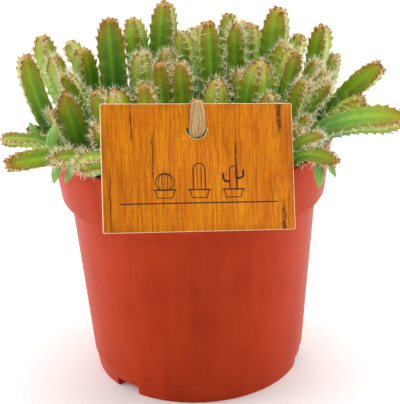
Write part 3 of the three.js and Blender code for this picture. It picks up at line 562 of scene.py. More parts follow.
# Materials
def skin_material():
    """Green skin: blue-green low down, yellow-green higher up, orange-brown at its tip and margins. Painted
    shade darkens one side of each crest and the stem's foot, a painted highlight runs down each face's
    valley, and the red-brown at each areole is partly painted shade.
    """
    n = Nodes("stem_skin")
    rise, crest, tip, tone, along = (n.mask(name) for name in ("rise", "crest", "tip", "tone", "along"))
    patches = n.noise(0.16, 3)
    fine = n.noise(1.7, 3)
    shifted = (rise + (patches - 0.5) * 0.5).clamped()
    face = n.ramp(shifted, (0.0, "#1e6432"), (0.3, "#388832"), (0.62, "#70b026"), (1.0, "#a8ba22"))
    yellow = n.ramp(shifted, (0.0, "#4e8e2c"), (0.5, "#96c628"), (1.0, "#c6c626"))
    face = n.mix(n.math("MAXIMUM", tone, 0.0) * 0.75, face, yellow)
    face = n.mix((n.math("MAXIMUM", tone * -1.0, 0.0) * 1.2).clamped(), face, "#286c3c")
    # Painted highlight: a lighter yellow-green streak along each face's valley, stronger higher up the
    # stem.
    painted_highlight = n.mask("valley") * n.ramp(shifted, (0.15, 0.15), (0.6, 0.75))
    face = n.mix(painted_highlight, face, "#acd03a")
    # Painted shade: on one side of every crest, the half face towards the valley is mixed towards dark
    # green.
    shade = n.mask("lee") * n.ramp(patches, (0.3, 0.1), (0.65, 0.4))
    face = n.mix(shade, face, "#266826")
    margin = n.ramp(rise, (0.0, "#60902c"), (0.6, "#96b02c"), (1.0, "#baa022"))
    face = n.mix(crest ** 1.6 * 0.75, face, margin)
    warm = n.mask("blush") * 0.6 + 0.15
    face = n.mix((crest ** 1.8 * tip ** 0.75 * warm).clamped(), face, "#c87c18")
    tip_share = tip ** 1.5 * warm * n.ramp(patches, (0.3, 0.8), (0.6, 1.15))
    face = n.mix(tip_share.clamped(), face, "#c0741a")
    # Red-brown in the notch above each areole and on the bead under it: partly the crest's own colour,
    # partly painted shade around the areole.
    face = n.mix((n.mask("tooth") * (tip * 0.5 + 0.22)).clamped(), face, "#844e16")
    face = n.mix(n.mask("spot") ** 1.3 * 0.75, face, "#8c4c18")
    # Painted shade: the stem's foot, up to about 20 mm above its start, is mixed in patches towards dark
    # olive-brown.
    wear_and_shade = n.ramp(along / 40.0, (0.12, 1.0), (0.5, 0.0)) * n.ramp(patches, (0.35, 0.25), (0.6, 0.9))
    face = n.mix(wear_and_shade, face, "#34321a")
    colour = n.mix(1.0, face, n.ramp(fine, (0.35, 0.86), (0.65, 1.06)), "MULTIPLY")
    height = n.math("SINE", along * 7.0 + patches * 6.0) * 0.25 + n.noise(2.6, 4)
    return n.surface(Base_Color=colour, Roughness=n.ramp(fine, (0.3, 0.34), (0.7, 0.5)),
                     Specular_IOR_Level=0.4, Subsurface_Weight=0.12, Subsurface_Scale=1.0,
                     Subsurface_Radius=(0.0012, 0.0018, 0.0006), Normal=n.bump(height, 0.14, 0.7))


def wool_material():
    n = Nodes("areole_wool")
    grain = n.noise(4.0, 3)
    colour = n.mix(n.mask("pink"), "#ecde96", "#eeceb6")
    colour = n.mix(n.mask("brown"), colour, n.mix(grain, "#8c401a", "#ce8440"))
    colour = n.mix(1.0, colour, n.ramp(grain, (0.3, 0.72), (0.65, 1.05)), "MULTIPLY")
    return n.surface(Base_Color=colour, Roughness=0.9, Sheen_Weight=0.4, Normal=n.bump(grain, 0.2))


def bristle_material():
    n = Nodes("bristles")
    colour = n.ramp(n.mask("along"), (0.0, "#e2d08c"), (0.3, "#f2eabc"), (1.0, "#faf8e4"))
    shade = n.ramp(n.noise(0.5, 2), (0.3, 0.85), (0.7, 1.05))
    # A faint cream glow: painted light that keeps the bristles bright inside the shaded clumps.
    return n.surface(Base_Color=n.mix(1.0, colour, shade, "MULTIPLY"), Roughness=0.5,
                     Emission_Color="#fffadc", Emission_Strength=0.12)


def leaf_material():
    n = Nodes("seed_leaf")
    shifted = (n.mask("rise") + (n.noise(0.35, 3) - 0.5) * 0.4).clamped()
    face = n.ramp(shifted, (0.0, "#5c983c"), (0.5, "#7cb450"), (1.0, "#98c25c"))
    face = n.mix(n.mask("crest") * 0.5, face, "#aace70")
    return n.surface(Base_Color=face, Roughness=0.4, Subsurface_Weight=0.1, Subsurface_Scale=1.0,
                     Subsurface_Radius=(0.001, 0.0015, 0.0005), Normal=n.bump(n.noise(1.8, 3), 0.1))


def pot_material():
    """Satin moulded plastic with faint upright flow marks and a few pale specks."""
    n = Nodes("pot_plastic")
    flow = n.noise(1.0, 4, place=n.stretched(0.16, 0.16, 0.03))
    base = n.mix(n.ramp(flow, (0.35, 0.0), (0.7, 1.0)), "#a82d04", "#b73609")
    base = n.mix(n.ramp(n.noise(0.05, 3), (0.35, 0.0), (0.7, 0.5)), base, "#be3d0f")
    specks = n.add("TexVoronoi", {"Vector": n.place, "Scale": 0.22}, "Distance")
    chosen = n.ramp(n.noise(0.12, 1), (0.56, 0.0), (0.6, 1.0))
    base = n.mix(n.ramp(specks, (0.0, 1.0), (0.1, 0.0)) * chosen * 0.55, base, "#e2805c")
    rough = n.ramp(n.noise(0.5, 4), (0.3, 0.38), (0.7, 0.48))
    return n.surface(Base_Color=base, Roughness=rough, Specular_IOR_Level=0.1,
                     Normal=n.bump(n.noise(3.0, 3) + flow * 2.0, 0.06, 0.5))


def soil_material():
    n = Nodes("peat")
    grain = n.noise(0.9, 5, 0.7)
    fine = n.noise(3.4, 4, 0.7)
    base = n.ramp(grain, (0.25, "#100a07"), (0.5, "#2c1e15"), (0.75, "#543c2a"))
    base = n.mix(n.ramp(fine, (0.55, 0.0), (0.8, 0.7)), base, "#70543c")
    base = n.mix(n.mask("pale"), base, "#96764e")
    return n.surface(Base_Color=base, Roughness=0.95, Normal=n.bump(grain + fine * 0.4, 0.9))


def card_print_material():
    """Printed wood: upright grain in orange-brown, dark cracks, a plank joint and worn darker corners."""
    n = Nodes("card_print")
    x = n.mask("card_x")
    y = n.mask("card_y")
    place = n.add("CombineXYZ", {0: x, 1: y})
    shifted = n.add("CombineXYZ", {0: x + n.noise(0.05, 2, place=place) * 2.5, 1: y})
    broad = n.noise(1.0, 3, place=n.stretched(0.16, 0.02, 1, shifted))
    grain = n.noise(1.0, 6, 0.65, place=n.stretched(1.1, 0.045, 1, shifted))
    pores = n.noise(1.0, 3, 0.7, place=n.stretched(5.0, 0.25, 1, shifted))
    blotch = n.noise(0.09, 3, place=place)
    colour = n.mix(n.ramp(broad, (0.3, 0.0), (0.7, 1.0)), "#ec8202", "#fc9e06")
    colour = n.mix(n.ramp(grain, (0.32, 0.9), (0.58, 0.0)), colour, "#b25004")
    colour = n.mix(n.ramp(pores, (0.32, 0.75), (0.48, 0.0)), colour, "#984406")
    colour = n.mix(n.ramp(blotch, (0.56, 0.0), (0.76, 0.6)), colour, "#d66008")
    wander = (n.noise(0.2, 3, place=place) - 0.5) * 1.4
    broken = n.ramp(n.noise(0.5, 3, place=place), (0.34, 0.45), (0.5, 1.0))
    for position, low, high, width in CARD_CRACKS:
        band = n.ramp(abs(x + wander - position) / (width * 1.7), (0.0, 1.0), (0.5, 0.75), (1.0, 0.0))
        reach = abs(y - (low + high) / 2) / ((high - low) / 2)
        share = band * n.ramp(reach, (0.55, 1.0), (1.0, 0.0)) * broken
        colour = n.mix(share * 0.95, colour, "#3a1405")
    edge = n.math("MAXIMUM", abs(x) / (CARD_WIDTH / 2), abs(y) / (CARD_HEIGHT / 2))
    wear_and_shade = n.ramp(edge, (0.86, 0.0), (1.0, 0.35)) * n.ramp(blotch, (0.4, 0.2), (0.6, 1.0))
    colour = n.mix(wear_and_shade, colour, "#a0480e")
    return n.surface(Base_Color=colour, Roughness=n.ramp(pores, (0.3, 0.5), (0.6, 0.4)),
                     Specular_IOR_Level=0.25, Normal=n.bump(n.noise(2.0, 3), 0.02))


def card_board_material():
    n = Nodes("card_board")
    fibres = n.noise(2.2, 4)
    colour = n.mix(n.ramp(fibres, (0.35, 0.0), (0.7, 1.0)), "#eed6a0", "#faecc4")
    return n.surface(Base_Color=colour, Roughness=0.8, Normal=n.bump(fibres, 0.05))


def ink_material():
    n = Nodes("card_ink")
    wear_and_shade = n.ramp(n.noise(1.6, 4), (0.45, 0.0), (0.75, 0.6))
    return n.surface(Base_Color=n.mix(wear_and_shade, "#301006", "#602a0a"), Roughness=0.5)


def raffia_material():
    """Dry raffia: fine fibres along its length, cream in the light and tan in the folds."""
    n = Nodes("raffia")
    place = n.add("CombineXYZ", {0: n.mask("across"), 1: n.mask("along")})
    fibres = n.noise(1.0, 5, 0.7, place=n.stretched(4.0, 0.1, 1, place))
    strands = n.noise(1.0, 3, place=n.stretched(1.3, 0.06, 1, place))
    colour = n.mix(n.ramp(strands, (0.35, 0.0), (0.65, 1.0)), "#c6965c", "#f0ce96")
    colour = n.mix(n.ramp(fibres, (0.34, 0.95), (0.54, 0.0)), colour, "#805428")
    colour = n.mix(n.ramp(n.noise(0.25, 2), (0.6, 0.0), (0.75, 0.4)), colour, "#deb268")
    return n.surface(Base_Color=colour, Roughness=0.75, Normal=n.bump(fibres + strands, 0.25))


def floor_material():
    n = Nodes("floor")
    tint = n.mix(n.noise(0.01, 2), (0.93, 0.94, 0.94, 1), (0.96, 0.97, 0.97, 1))
    return n.surface(Base_Color=tint, Roughness=0.6, Emission_Color=(1, 1, 1, 1), Emission_Strength=0.1)


# Pot
def upright_rings(outline, sides):
    """Level rings of points round the upright axis, one for each radius and height."""
    angles = full_turn(sides)
    circle = np.stack((np.sin(angles), -np.cos(angles)), -1)
    return np.stack([np.column_stack((radius * circle, np.full(sides, height)))
                     for radius, height in outline])


def lathe_solid(profile, sides):
    """A closed body of revolution from [radius, height] points that start and end on the axis."""
    body = Solid()
    body.tube(upright_rings(profile[1:-1], sides), [(0, 0, profile[0][1]), (0, 0, profile[-1][1])])
    return body


def rounded(points, radius):
    """Rounds the inner corners of an outline with short arcs."""
    made = [points[0]]
    for before, corner, after in zip(points, points[1:], points[2:]):
        before, corner, after = (np.array(p, float) for p in (before, corner, after))
        into = unit(before - corner)
        out = unit(after - corner)
        reach = min(radius, np.linalg.norm(before - corner) / 2.2, np.linalg.norm(after - corner) / 2.2)
        start = corner + into * reach
        end = corner + out * reach
        for t in np.linspace(0, 1, ROUND_STEPS + 1):
            made.append(tuple((1 - t) ** 2 * start + 2 * t * (1 - t) * corner + t ** 2 * end))
    made.append(points[-1])
    return made


def pot_inner_radius(height):
    if height > BAND_FOOT + POT_WALL:
        share = (height - BAND_FOOT) / RIM_BAND_HEIGHT
        return RIM_BAND_FOOT_RADIUS + (RIM_RADIUS - RIM_BAND_FOOT_RADIUS) * share - POT_WALL
    share = (height - LEDGE_HEIGHT) / (BAND_FOOT - LEDGE_HEIGHT)
    return LEDGE_RADIUS + LEDGE_STEP + (WALL_TOP_RADIUS - LEDGE_RADIUS - LEDGE_STEP) * share - POT_WALL


def foot_wedge(angle, width, height):
    inner = CHANNEL_OUTER_RADIUS - 3
    outer = FOOT_RADIUS + 5
    corners = []
    for radius, side in ((inner, -1), (outer, -1), (outer, 1), (inner, 1)):
        direction = math.radians(angle + side * width / 2)
        corners.append((radius * math.sin(direction), -radius * math.cos(direction)))
    low = np.column_stack((corners, np.full(4, -1.0)))
    high = np.column_stack((corners, np.full(4, height)))
    wedge = Solid()
    wedge.add(np.concatenate((low, high)), np.concatenate((grid_quads(2, 4), [[3, 2, 1, 0], [4, 5, 6, 7]])))
    return wedge


def drain_cutter(angle):
    x = DRAIN_HOLE_CIRCLE * math.sin(angle)
    y = -DRAIN_HOLE_CIRCLE * math.cos(angle)
    cutter = lathe_solid([(0, 1), (DRAIN_HOLE_RADIUS, 1), (DRAIN_HOLE_RADIUS, FLOOR_HEIGHT + 2),
                          (0, FLOOR_HEIGHT + 2)], 40)
    cutter.points[0] += (x, y, 0)
    return cutter


def cut(body, cutters):
    """Takes the cutters' meshes away from the body's mesh."""
    tools = [linked(f"cutter_{number}", cutter) for number, cutter in enumerate(cutters)]
    made = linked("cut_body", body)
    for tool in tools:
        modifier = made.modifiers.new("cut", "BOOLEAN")
        modifier.operation = "DIFFERENCE"
        modifier.solver = "MANIFOLD"
        modifier.object = tool
    evaluated = made.evaluated_get(bpy.context.evaluated_depsgraph_get())
    mesh = bpy.data.meshes.new_from_object(evaluated)
    for spare in (made, *tools):
        bpy.data.objects.remove(spare)
    return mesh


def make_pot():
    outside = [
        (0, 0), (PAD_RADIUS, 0), (CHANNEL_INNER_RADIUS, CHANNEL_HEIGHT),
        (CHANNEL_OUTER_RADIUS, CHANNEL_HEIGHT), (FOOT_RING_INNER_RADIUS, 0), (FOOT_RADIUS, 0),
        (LEDGE_RADIUS, LEDGE_HEIGHT),
        (LEDGE_RADIUS + LEDGE_STEP, LEDGE_HEIGHT + LEDGE_STEP), (WALL_TOP_RADIUS, BAND_FOOT - 0.4),
        (RIM_BAND_FOOT_RADIUS, BAND_FOOT), (RIM_RADIUS, POT_HEIGHT),
        (RIM_RADIUS - POT_WALL, POT_HEIGHT), (0, POT_HEIGHT),
    ]
    inside = [
        (0, FLOOR_THICKNESS), (PAD_RADIUS, FLOOR_THICKNESS), (CHANNEL_INNER_RADIUS, FLOOR_HEIGHT),
        (CHANNEL_OUTER_RADIUS, FLOOR_HEIGHT), (FOOT_RING_INNER_RADIUS + LEDGE_STEP, FLOOR_THICKNESS),
        (FOOT_RADIUS - POT_WALL, FLOOR_THICKNESS), (LEDGE_RADIUS - POT_WALL, LEDGE_HEIGHT),
        (pot_inner_radius(BAND_FOOT - 1), BAND_FOOT), (pot_inner_radius(BAND_FOOT + 2), BAND_FOOT + 2),
        (RIM_RADIUS - POT_WALL, POT_HEIGHT), (RIM_RADIUS - POT_WALL + 0.4, POT_HEIGHT + 2),
        (0, POT_HEIGHT + 2),
    ]
    body = lathe_solid(rounded(outside, 0.55), POT_SIDES).mesh("pot_outside")
    cavity = lathe_solid(inside, POT_SIDES).mesh("pot_cavity")
    wall_width = math.degrees(2 * POT_WALL / FOOT_RADIUS)
    body = cut(body, [foot_wedge(a, FOOT_GAP_WIDTH, CHANNEL_HEIGHT).mesh("gap") for a in FOOT_GAP_ANGLES])
    wide = [foot_wedge(a, FOOT_GAP_WIDTH + wall_width, FLOOR_HEIGHT).mesh("gap") for a in FOOT_GAP_ANGLES]
    cavity = cut(cavity, wide)
    step = 2 * math.pi / DRAIN_HOLE_COUNT
    holes = [drain_cutter((h + 0.5) * step).mesh("hole") for h in range(DRAIN_HOLE_COUNT)]
    body = cut(body, [cavity, *holes])
    body.name = "nursery_pot"
    body.shade_smooth()
    body.set_sharp_from_angle(angle=math.radians(32))
    body.materials.clear()
    place_piece("nursery_pot", body, [pot_material()], ["pot"])


# Stem shape
FRONT = np.array((0.0, -1.0, 0.0))
UP = np.array((0.0, 0.0, 1.0))


class Axis:
    """A stem's middle line, measured by length from where the stem leaves the soil or its host."""

    def __init__(self, start, plan):
        self.start = np.asarray(start, float)
        self.tip = np.asarray(plan["tip"], float)
        way = self.tip - self.start
        self.control = self.start + way * (plan["reach"], plan["reach"], plan["rise"])
        self.steps = np.linspace(0, 1, 201)
        curve = self.curve(self.steps)
        self.lengths = np.concatenate(([0], np.cumsum(np.linalg.norm(np.diff(curve, axis=0), axis=1))))
        self.length = self.lengths[-1]

    def curve(self, t):
        t = np.asarray(t, float)[..., None]
        return (1 - t) ** 2 * self.start + 2 * t * (1 - t) * self.control + t ** 2 * self.tip

    def place(self, heights):
        """Points on the axis with the directions ahead, to the side and along it."""
        heights = np.asarray(heights, float)
        t = np.interp(np.clip(heights, 0, self.length), self.lengths, self.steps)
        slope = (1 - t)[..., None] * (self.control - self.start) + t[..., None] * (self.tip - self.control)
        below = (heights <= 0)[..., None]
        along = np.where(below, UP, unit(slope))
        point = self.curve(t) + np.where(below, heights[..., None] * UP, 0)
        ahead = unit(FRONT - along * (along @ FRONT)[..., None])
        return point, ahead, np.cross(along, ahead), along

    def spoke(self, heights, angles):
        """Points on the axis with the directions out from it at the angles, and along it."""
        point, ahead, side, along = self.place(heights)
        return point, ahead * np.cos(angles)[:, None] + side * np.sin(angles)[:, None], along


def crest_radius(plan, length, height):
    """Radius over the crests: it swells from the neck, and tapers to a small rounded top."""
    neck = max(NECK_SHARE * plan["radius"], NECK_LEAST)
    radius = plan["radius"]
    body = neck + (radius - neck) * np.clip(height / (plan["swell"] * length), 0, 1)
    from_tip = np.maximum(length - height, 0) / radius
    taper = np.sin(np.clip(from_tip / TIP_LENGTH, 0, 1) * math.pi / 2)
    rounding = np.sqrt(1 - (1 - np.clip(from_tip / TIP_ROUNDING, 0, 1)) ** 2)
    return body * (TIP_TOP_SHARE + (1 - TIP_TOP_SHARE) * taper) * rounding


def rib_section(ribs):
    """Radius round a full-grown stem as a share of its crest radius, for every half degree from a crest."""
    half = math.pi / ribs
    depth = VALLEY_SHARE[ribs]
    angles = np.radians(np.arange(0, 360, 0.5))
    from_crest = np.abs((angles + half) % (2 * half) - half)
    chord = depth * math.sin(half) / (np.sin(from_crest) + depth * np.sin(half - from_crest))
    offsets = np.arange(-60, 61) * 0.5
    kernel = np.exp(-((offsets / CREST_ROUNDING) ** 2) / 2)
    wrapped = np.concatenate((chord[-60:], chord, chord[:60]))
    soft = np.convolve(wrapped, kernel / kernel.sum(), "valid")
    return soft / soft.max()


SECTIONS = {ribs: rib_section(ribs) for ribs in VALLEY_SHARE}


def areole_heights(plan, length, phase, random):
    """Areoles of one rib from the tip down: close together at the tip, about 5 mm apart lower down."""
    size = 0.72 if plan["radius"] < SLIM_RADIUS else 1.0
    from_tip = (0.7 + 1.1 * phase) * size
    heights = []
    while length - from_tip > BARE_FOOT:
        heights.append(length - from_tip)
        from_tip += (1.4 + 3.9 * (1 - math.exp(-from_tip / 9))) * size * random.uniform(0.9, 1.1)
    return np.array(heights)


def tooth_shape(heights, areoles):
    """How deep the crest lies under its full radius, 0 at an areole and 1 in the notch just above it."""
    ascending = np.sort(areoles)
    edges = np.concatenate(([ascending[0] - 6], ascending, [ascending[-1] + 2]))
    slot = np.clip(np.searchsorted(edges, heights, side="right") - 1, 0, len(edges) - 2)
    pitch = edges[slot + 1] - edges[slot]
    share = np.clip((heights - edges[slot]) / pitch, 0, 1)
    notch = smooth(share, 0, 0.24) * (1 - np.clip((share - 0.24) / 0.76, 0, 1) ** 1.4)
    return notch * np.clip(pitch / 4.5, 0.45, 1.0)


def stem_rows(plan, length, foot):
    radius = plan["radius"]
    middle = np.arange(foot, length - radius, ROW_STEP)
    dome = length - radius + radius * np.sin(np.linspace(0, 0.99, DOME_ROWS) * math.pi / 2)
    return np.concatenate((middle, dome))


def skin_part(body, plan, axis, foot, random):
    """Adds a ribbed stem's skin to the body, and gives back its areoles as arrays."""
    length = axis.length
    ribs = plan["ribs"]
    heights = stem_rows(plan, length, foot)
    turn = math.radians(plan["turn"])
    relative = full_turn(ribs * RIB_COLUMNS)
    crest = crest_radius(plan, length, heights)[:, None]
    section = SECTIONS[ribs][np.round(np.degrees(relative) * 2).astype(int) % 720]
    ribbed = smooth(heights, 0.5, 0.38 * length)[:, None]
    radii = crest * (1 + (section - 1) * ribbed)
    half = math.pi / ribs
    rib_of = np.floor((relative + half) / (2 * half)).astype(int) % ribs
    from_crest = (relative + half) % (2 * half) - half
    degrees = np.degrees(from_crest)
    phases = [(k % 2) * 0.9 + random.uniform(0, 0.35) for k in range(ribs)]
    areoles = [areole_heights(plan, length, phase, random) for phase in phases]
    notches = np.stack([tooth_shape(heights, places) for places in areoles], -1)[:, rib_of]
    notches *= bell(degrees / TOOTH_WIDTH)
    depth = TOOTH_DEPTH * min(1.0, plan["radius"] / FULL_RADIUS)
    radii -= notches * depth * np.clip(crest / plan["radius"] * 1.3, 0, 1) * ribbed
    beads = np.zeros_like(radii)
    for k, places in enumerate(areoles):
        rise = bell((heights[:, None] - places + BEAD_DROP) / BEAD_LENGTH).sum(1)
        beads += np.clip(rise, 0, 1)[:, None] * (rib_of == k)
    beads *= bell(degrees / (TOOTH_WIDTH * 0.6))
    radii += beads * BEAD_HEIGHT * np.clip(crest / 3, 0, 1)
    radii *= 1 + 0.018 * np.sin(heights * 0.9 + random.uniform(0, 6))[:, None] * np.cos(relative * 2 + 1)
    point, ahead, side, _ = axis.place(heights)
    rings = point[:, None] + spokes(ahead, side, relative + turn) * radii[..., None]
    from_tip = np.clip(length - heights, 0, None)[:, None]
    from_valley = np.abs(from_crest) / half - 1 + 0.12 * np.sign(from_crest)
    body.tube(
        rings, np.stack((point[0], axis.tip)), SKIN,
        crest=(ribbed * bell(degrees * ribs / 4 / 17), (0, 1)),
        rise=(1 - np.clip(from_tip / FACE_RUN, 0, 1), (0, 1)),
        # Mask of the painted highlight along each face's valley
        valley=(ribbed * bell(from_valley / 0.2), (0, 0)),
        # Mask of the painted shade on one side of each crest
        lee=(ribbed * bell((from_crest / half + 0.55) / 0.3), (0, 0)),
        tip=(np.exp(-from_tip / TIP_BLUSH), (0, 1)),
        # Masks of the red-brown, partly painted shade, in the notches and on the beads
        tooth=(notches, (0, 0)), spot=(beads, (0, 0)), along=(heights[:, None], (0, length)),
        blush=plan["blush"], tone=plan["tone"],
    )
    places = np.concatenate(areoles)
    angles = np.concatenate([np.full(len(a), turn + k * 2 * half) for k, a in enumerate(areoles)])
    point, outward, along = axis.spoke(places, angles)
    radius = crest_radius(plan, length, places)
    ahead_radius = crest_radius(plan, length, np.minimum(places + 0.2, length))
    slope = np.clip((radius - ahead_radius) / 0.2, 0, 6)[:, None]
    return {"point": point + outward * (radius + 0.1)[:, None], "normal": unit(outward + slope * along),
            "along": along, "from_tip": length - places}


def crown_part(body, areoles, plan, axis, random):
    """Small red-brown scales: one beside each young areole, and a crowd of them over the tip."""
    young = areoles["from_tip"] < YOUNG_REACH
    normal, along = areoles["normal"][young], areoles["along"][young]
    beside = areoles["point"][young] + along * 0.75 - normal * 0.2
    size = random.uniform(0.36, 0.52, len(beside))
    cushions(body, beside, unit(normal + along * 0.6), along, size, 1.5, brown=1.0)
    count = CROWN_NUBS if plan["radius"] > SLIM_RADIUS else CROWN_NUBS - 4
    heights = axis.length - random.uniform(0.15, 2.4, count)
    rib = random.integers(0, plan["ribs"], count)
    angles = math.radians(plan["turn"]) + rib * 2 * math.pi / plan["ribs"] + random.normal(0, 0.35, count)
    point, outward, along = axis.spoke(heights, angles)
    radius = crest_radius(plan, axis.length, heights) * 0.9
    size = random.uniform(0.42, 0.68, count) * min(1.0, plan["radius"] / FULL_RADIUS)
    point = point + outward * radius[:, None]
    cushions(body, point, unit(outward * 0.6 + along), along, size, 1.7, brown=1.0)


def cushions(body, point, normal, along, size, tall, **masks):
    """Small cushions or scales with a few sides, each standing on a point."""
    sides = CUSHION_SIDES
    side = unit(np.cross(normal, along + 0.01))
    ring = spokes(side, np.cross(normal, side), full_turn(sides))
    rings = [point[:, None] + (ring * share + normal[:, None] * rise) * size[:, None, None]
             for share, rise in ((1.0, -0.25), (0.72, 0.55 * tall))]
    base = point - normal * (size * 0.5)[:, None]
    top = point + normal * (size * 0.9 * tall)[:, None]
    each = 2 * sides + 2
    count = len(point)
    around = np.arange(sides)
    caps = np.concatenate((fan(each - 2, around, flip=True), fan(each - 1, around + sides)))
    points = np.concatenate((*rings, base[:, None], top[:, None]), 1)
    spread = {name: np.repeat(np.broadcast_to(value, count), each) for name, value in masks.items()}
    body.add(points, copies(grid_quads(2, sides), count, each), copies(caps, count, each), WOOL, **spread)


def wool_part(body, areoles, plan, random):
    """A small cushion of wool on each areole."""
    young = np.exp(-areoles["from_tip"] / 5)
    size = AREOLE_SIZE * random.uniform(0.8, 1.2, len(young)) * (1 + 0.35 * young * plan["fuzz"])
    pink = np.clip(young * 1.4, 0, 1) * plan["fuzz"]
    cushions(body, areoles["point"], areoles["normal"], areoles["along"], size, 1.0, pink=pink)


def bristle_part(body, areoles, plan, keep_clear, random):
    """Fine white bristles, a bunch on each areole, longer and denser on the hairy stems and at the tips."""
    hair = plan["hair"] * (0.4 if plan["bare"] else 1)
    count = len(areoles["point"])
    young = np.exp(-areoles["from_tip"] / 3.5)
    wanted = BRISTLES_LEAST + BRISTLES_HAIRY * hair + young * BRISTLES_WOOLLY * plan["fuzz"]
    number = np.floor(wanted + random.uniform(0, 1, count)).astype(int)
    pick = np.repeat(np.arange(count), number)
    total = len(pick)
    normal, along = areoles["normal"][pick], areoles["along"][pick]
    spread = unit(random.normal(0, 1, (total, 3)))
    lift = random.uniform(-0.2, 0.7, total) + 0.7 * young[pick]
    direction = unit(normal + 1.25 * spread + along * lift[:, None])
    facing = np.sum(direction * normal, 1)
    direction = unit(direction + normal * np.clip(0.12 - facing, 0, 1)[:, None])
    length = random.uniform(*BRISTLE_LENGTHS, total) * (0.75 + 0.35 * min(hair, 1.2))
    length *= 1 - 0.2 * young[pick]
    foot = areoles["point"][pick] - normal * 0.15
    bend = unit(np.cross(direction, spread)) * (length * random.uniform(0, 0.14, total))[:, None]
    middle = foot + direction * (length * 0.55)[:, None] + bend
    tip = foot + direction * length[:, None]
    clear = keep_clear(tip) & keep_clear(middle)
    foot, middle, tip, direction = foot[clear], middle[clear], tip[clear], direction[clear]
    side = unit(np.cross(direction, UP + 0.013))
    thick = BRISTLE_RADIUS * random.uniform(0.8, 1.25, len(foot))[:, None, None]
    ring = spokes(side, np.cross(direction, side), full_turn(3)) * thick
    points = np.concatenate((foot[:, None] + ring, middle[:, None] + ring * 0.8, tip[:, None]), 1)
    caps = [[2, 1, 0], [3, 4, 6], [4, 5, 6], [5, 3, 6]]
    body.add(points, copies(grid_quads(2, 3), len(foot), 7), copies(caps, len(foot), 7), BRISTLE,
             along=np.tile([0, 0, 0, 0.5, 0.5, 0.5, 1], len(foot)))


def leaf_part(body, start, tip, width):
    """A fleshy pointed seed leaf with a soft midrib."""
    way = tip - start
    side = unit(np.cross(way, FRONT))
    thick = unit(np.cross(way, side))
    share = np.linspace(0.04, 0.985, LEAF_ROWS)
    outline = np.interp(share, (0, 0.2, 0.42, 0.6, 0.8, 0.93, 1), (0.3, 0.62, 0.98, 1, 0.72, 0.34, 0.05))
    outline = np.convolve(np.pad(outline, 2, "edge"), np.ones(5) / 5, "valid")[:, None]
    angles = full_turn(LEAF_COLUMNS)
    lens = np.sign(np.sin(angles)) * np.abs(np.sin(angles)) ** 1.2
    rib = bell(np.cos(angles) / 0.22)
    across = outline * width / 2 * np.cos(angles)
    depth = LEAF_DEPTH * np.clip(outline * 1.15, 0, 1) * lens * (1 + rib * 0.16)
    depth -= np.sin(share * math.pi)[:, None] * LEAF_SAG
    rings = (start + share[:, None] * way)[:, None] + across[..., None] * side + depth[..., None] * thick
    body.tube(rings, [start + way * 0.03, tip], LEAF, rise=(share[:, None], (0, 1)),
              crest=(np.clip(rib * 0.96, 0, 1), (0, 0)))


def grown(plan):
    """The stem's own axis, and its side shoot's where it has one, each with its plan."""
    axis = Axis((*plan["base"], SOIL_TOP + FOOT_HEIGHT), plan)
    parts = [(plan, axis)]
    if plan["shoot"]:
        start = axis.place(np.array([SHOOT_START * axis.length]))[0][0]
        parts.append((plan["shoot"], Axis(start, plan["shoot"])))
    return parts


def body_balls(parts):
    """Balls along a stem's axis that stand for its body when bristles are tested against it."""
    centres, radii = [], []
    for plan, axis in parts:
        heights = np.arange(0, axis.length, 1.2)
        centres.append(axis.place(heights)[0])
        radii.append(crest_radius(plan, axis.length, heights) * 0.86)
    return np.concatenate(centres), np.concatenate(radii)


def clear_of(others, low, high):
    """A test for points: inside the part's box, clear of other stems, the pot, the soil and the card."""
    centres = np.concatenate([c for c, r in others])
    radii = np.concatenate([r for c, r in others]) + BRISTLE_CLEARANCE

    def test(points):
        good = np.all((points > low + BOX_ROOM) & (points < high - BOX_ROOM), 1)
        good &= points[:, 2] > SOIL_TOP + SOIL_ROOM
        distance = np.hypot(points[:, 0], points[:, 1])
        near_wall = (distance > RIM_RADIUS - RIM_ZONE[0]) & (distance < RIM_RADIUS + RIM_ZONE[1])
        good &= ~(near_wall & (points[:, 2] < POT_HEIGHT + RIM_ROOM))
        local = points - CARD_CENTRE
        outside = np.stack((np.abs(local @ CARD_ACROSS) - CARD_WIDTH / 2,
                            np.abs(local @ CARD_UPWARD) - CARD_HEIGHT / 2,
                            np.abs(local @ CARD_OUT + CARD_THICKNESS / 2) - CARD_THICKNESS / 2))
        good &= outside.max(0) > CARD_ROOM
        gaps = np.linalg.norm(points[:, None] - centres[None], axis=2) - radii[None]
        return good & (gaps.min(1) > 0)

    return test


def make_stems():
    materials = [skin_material(), wool_material(), bristle_material(), leaf_material()]
    low = np.array(cad_box[0]) / MM
    high = np.array(cad_box[1]) / MM
    plants = [grown(plan) for plan in STEMS]
    balls = [body_balls(parts) for parts in plants]
    for number, parts in enumerate(plants):
        random = np.random.default_rng(SEED + number)
        mine = balls[number][0]
        near = [b for i, b in enumerate(balls) if i != number
                and np.all(b[0].min(0) - NEIGHBOUR_REACH < mine.max(0))
                and np.all(b[0].max(0) + NEIGHBOUR_REACH > mine.min(0))]
        test = clear_of(near, low, high)
        body = Solid()
        for plan, axis in parts:
            foot = -ROOT_DEPTH if plan["base"] else 0.1
            areoles = skin_part(body, plan, axis, foot, random)
            wool_part(body, areoles, plan, random)
            crown_part(body, areoles, plan, axis, random)
            bristle_part(body, areoles, plan, test, random)
        host, axis = parts[0]
        for at, tip, width in host["leaves"]:
            start = axis.place(np.array([at * axis.length]))[0][0]
            leaf_part(body, start, np.array(tip, float), width)
        name = f"seedling_{number + 1:02d}"
        place_piece(name, body.mesh(name, 60), materials, [f"stem_{number + 1:02d}"])


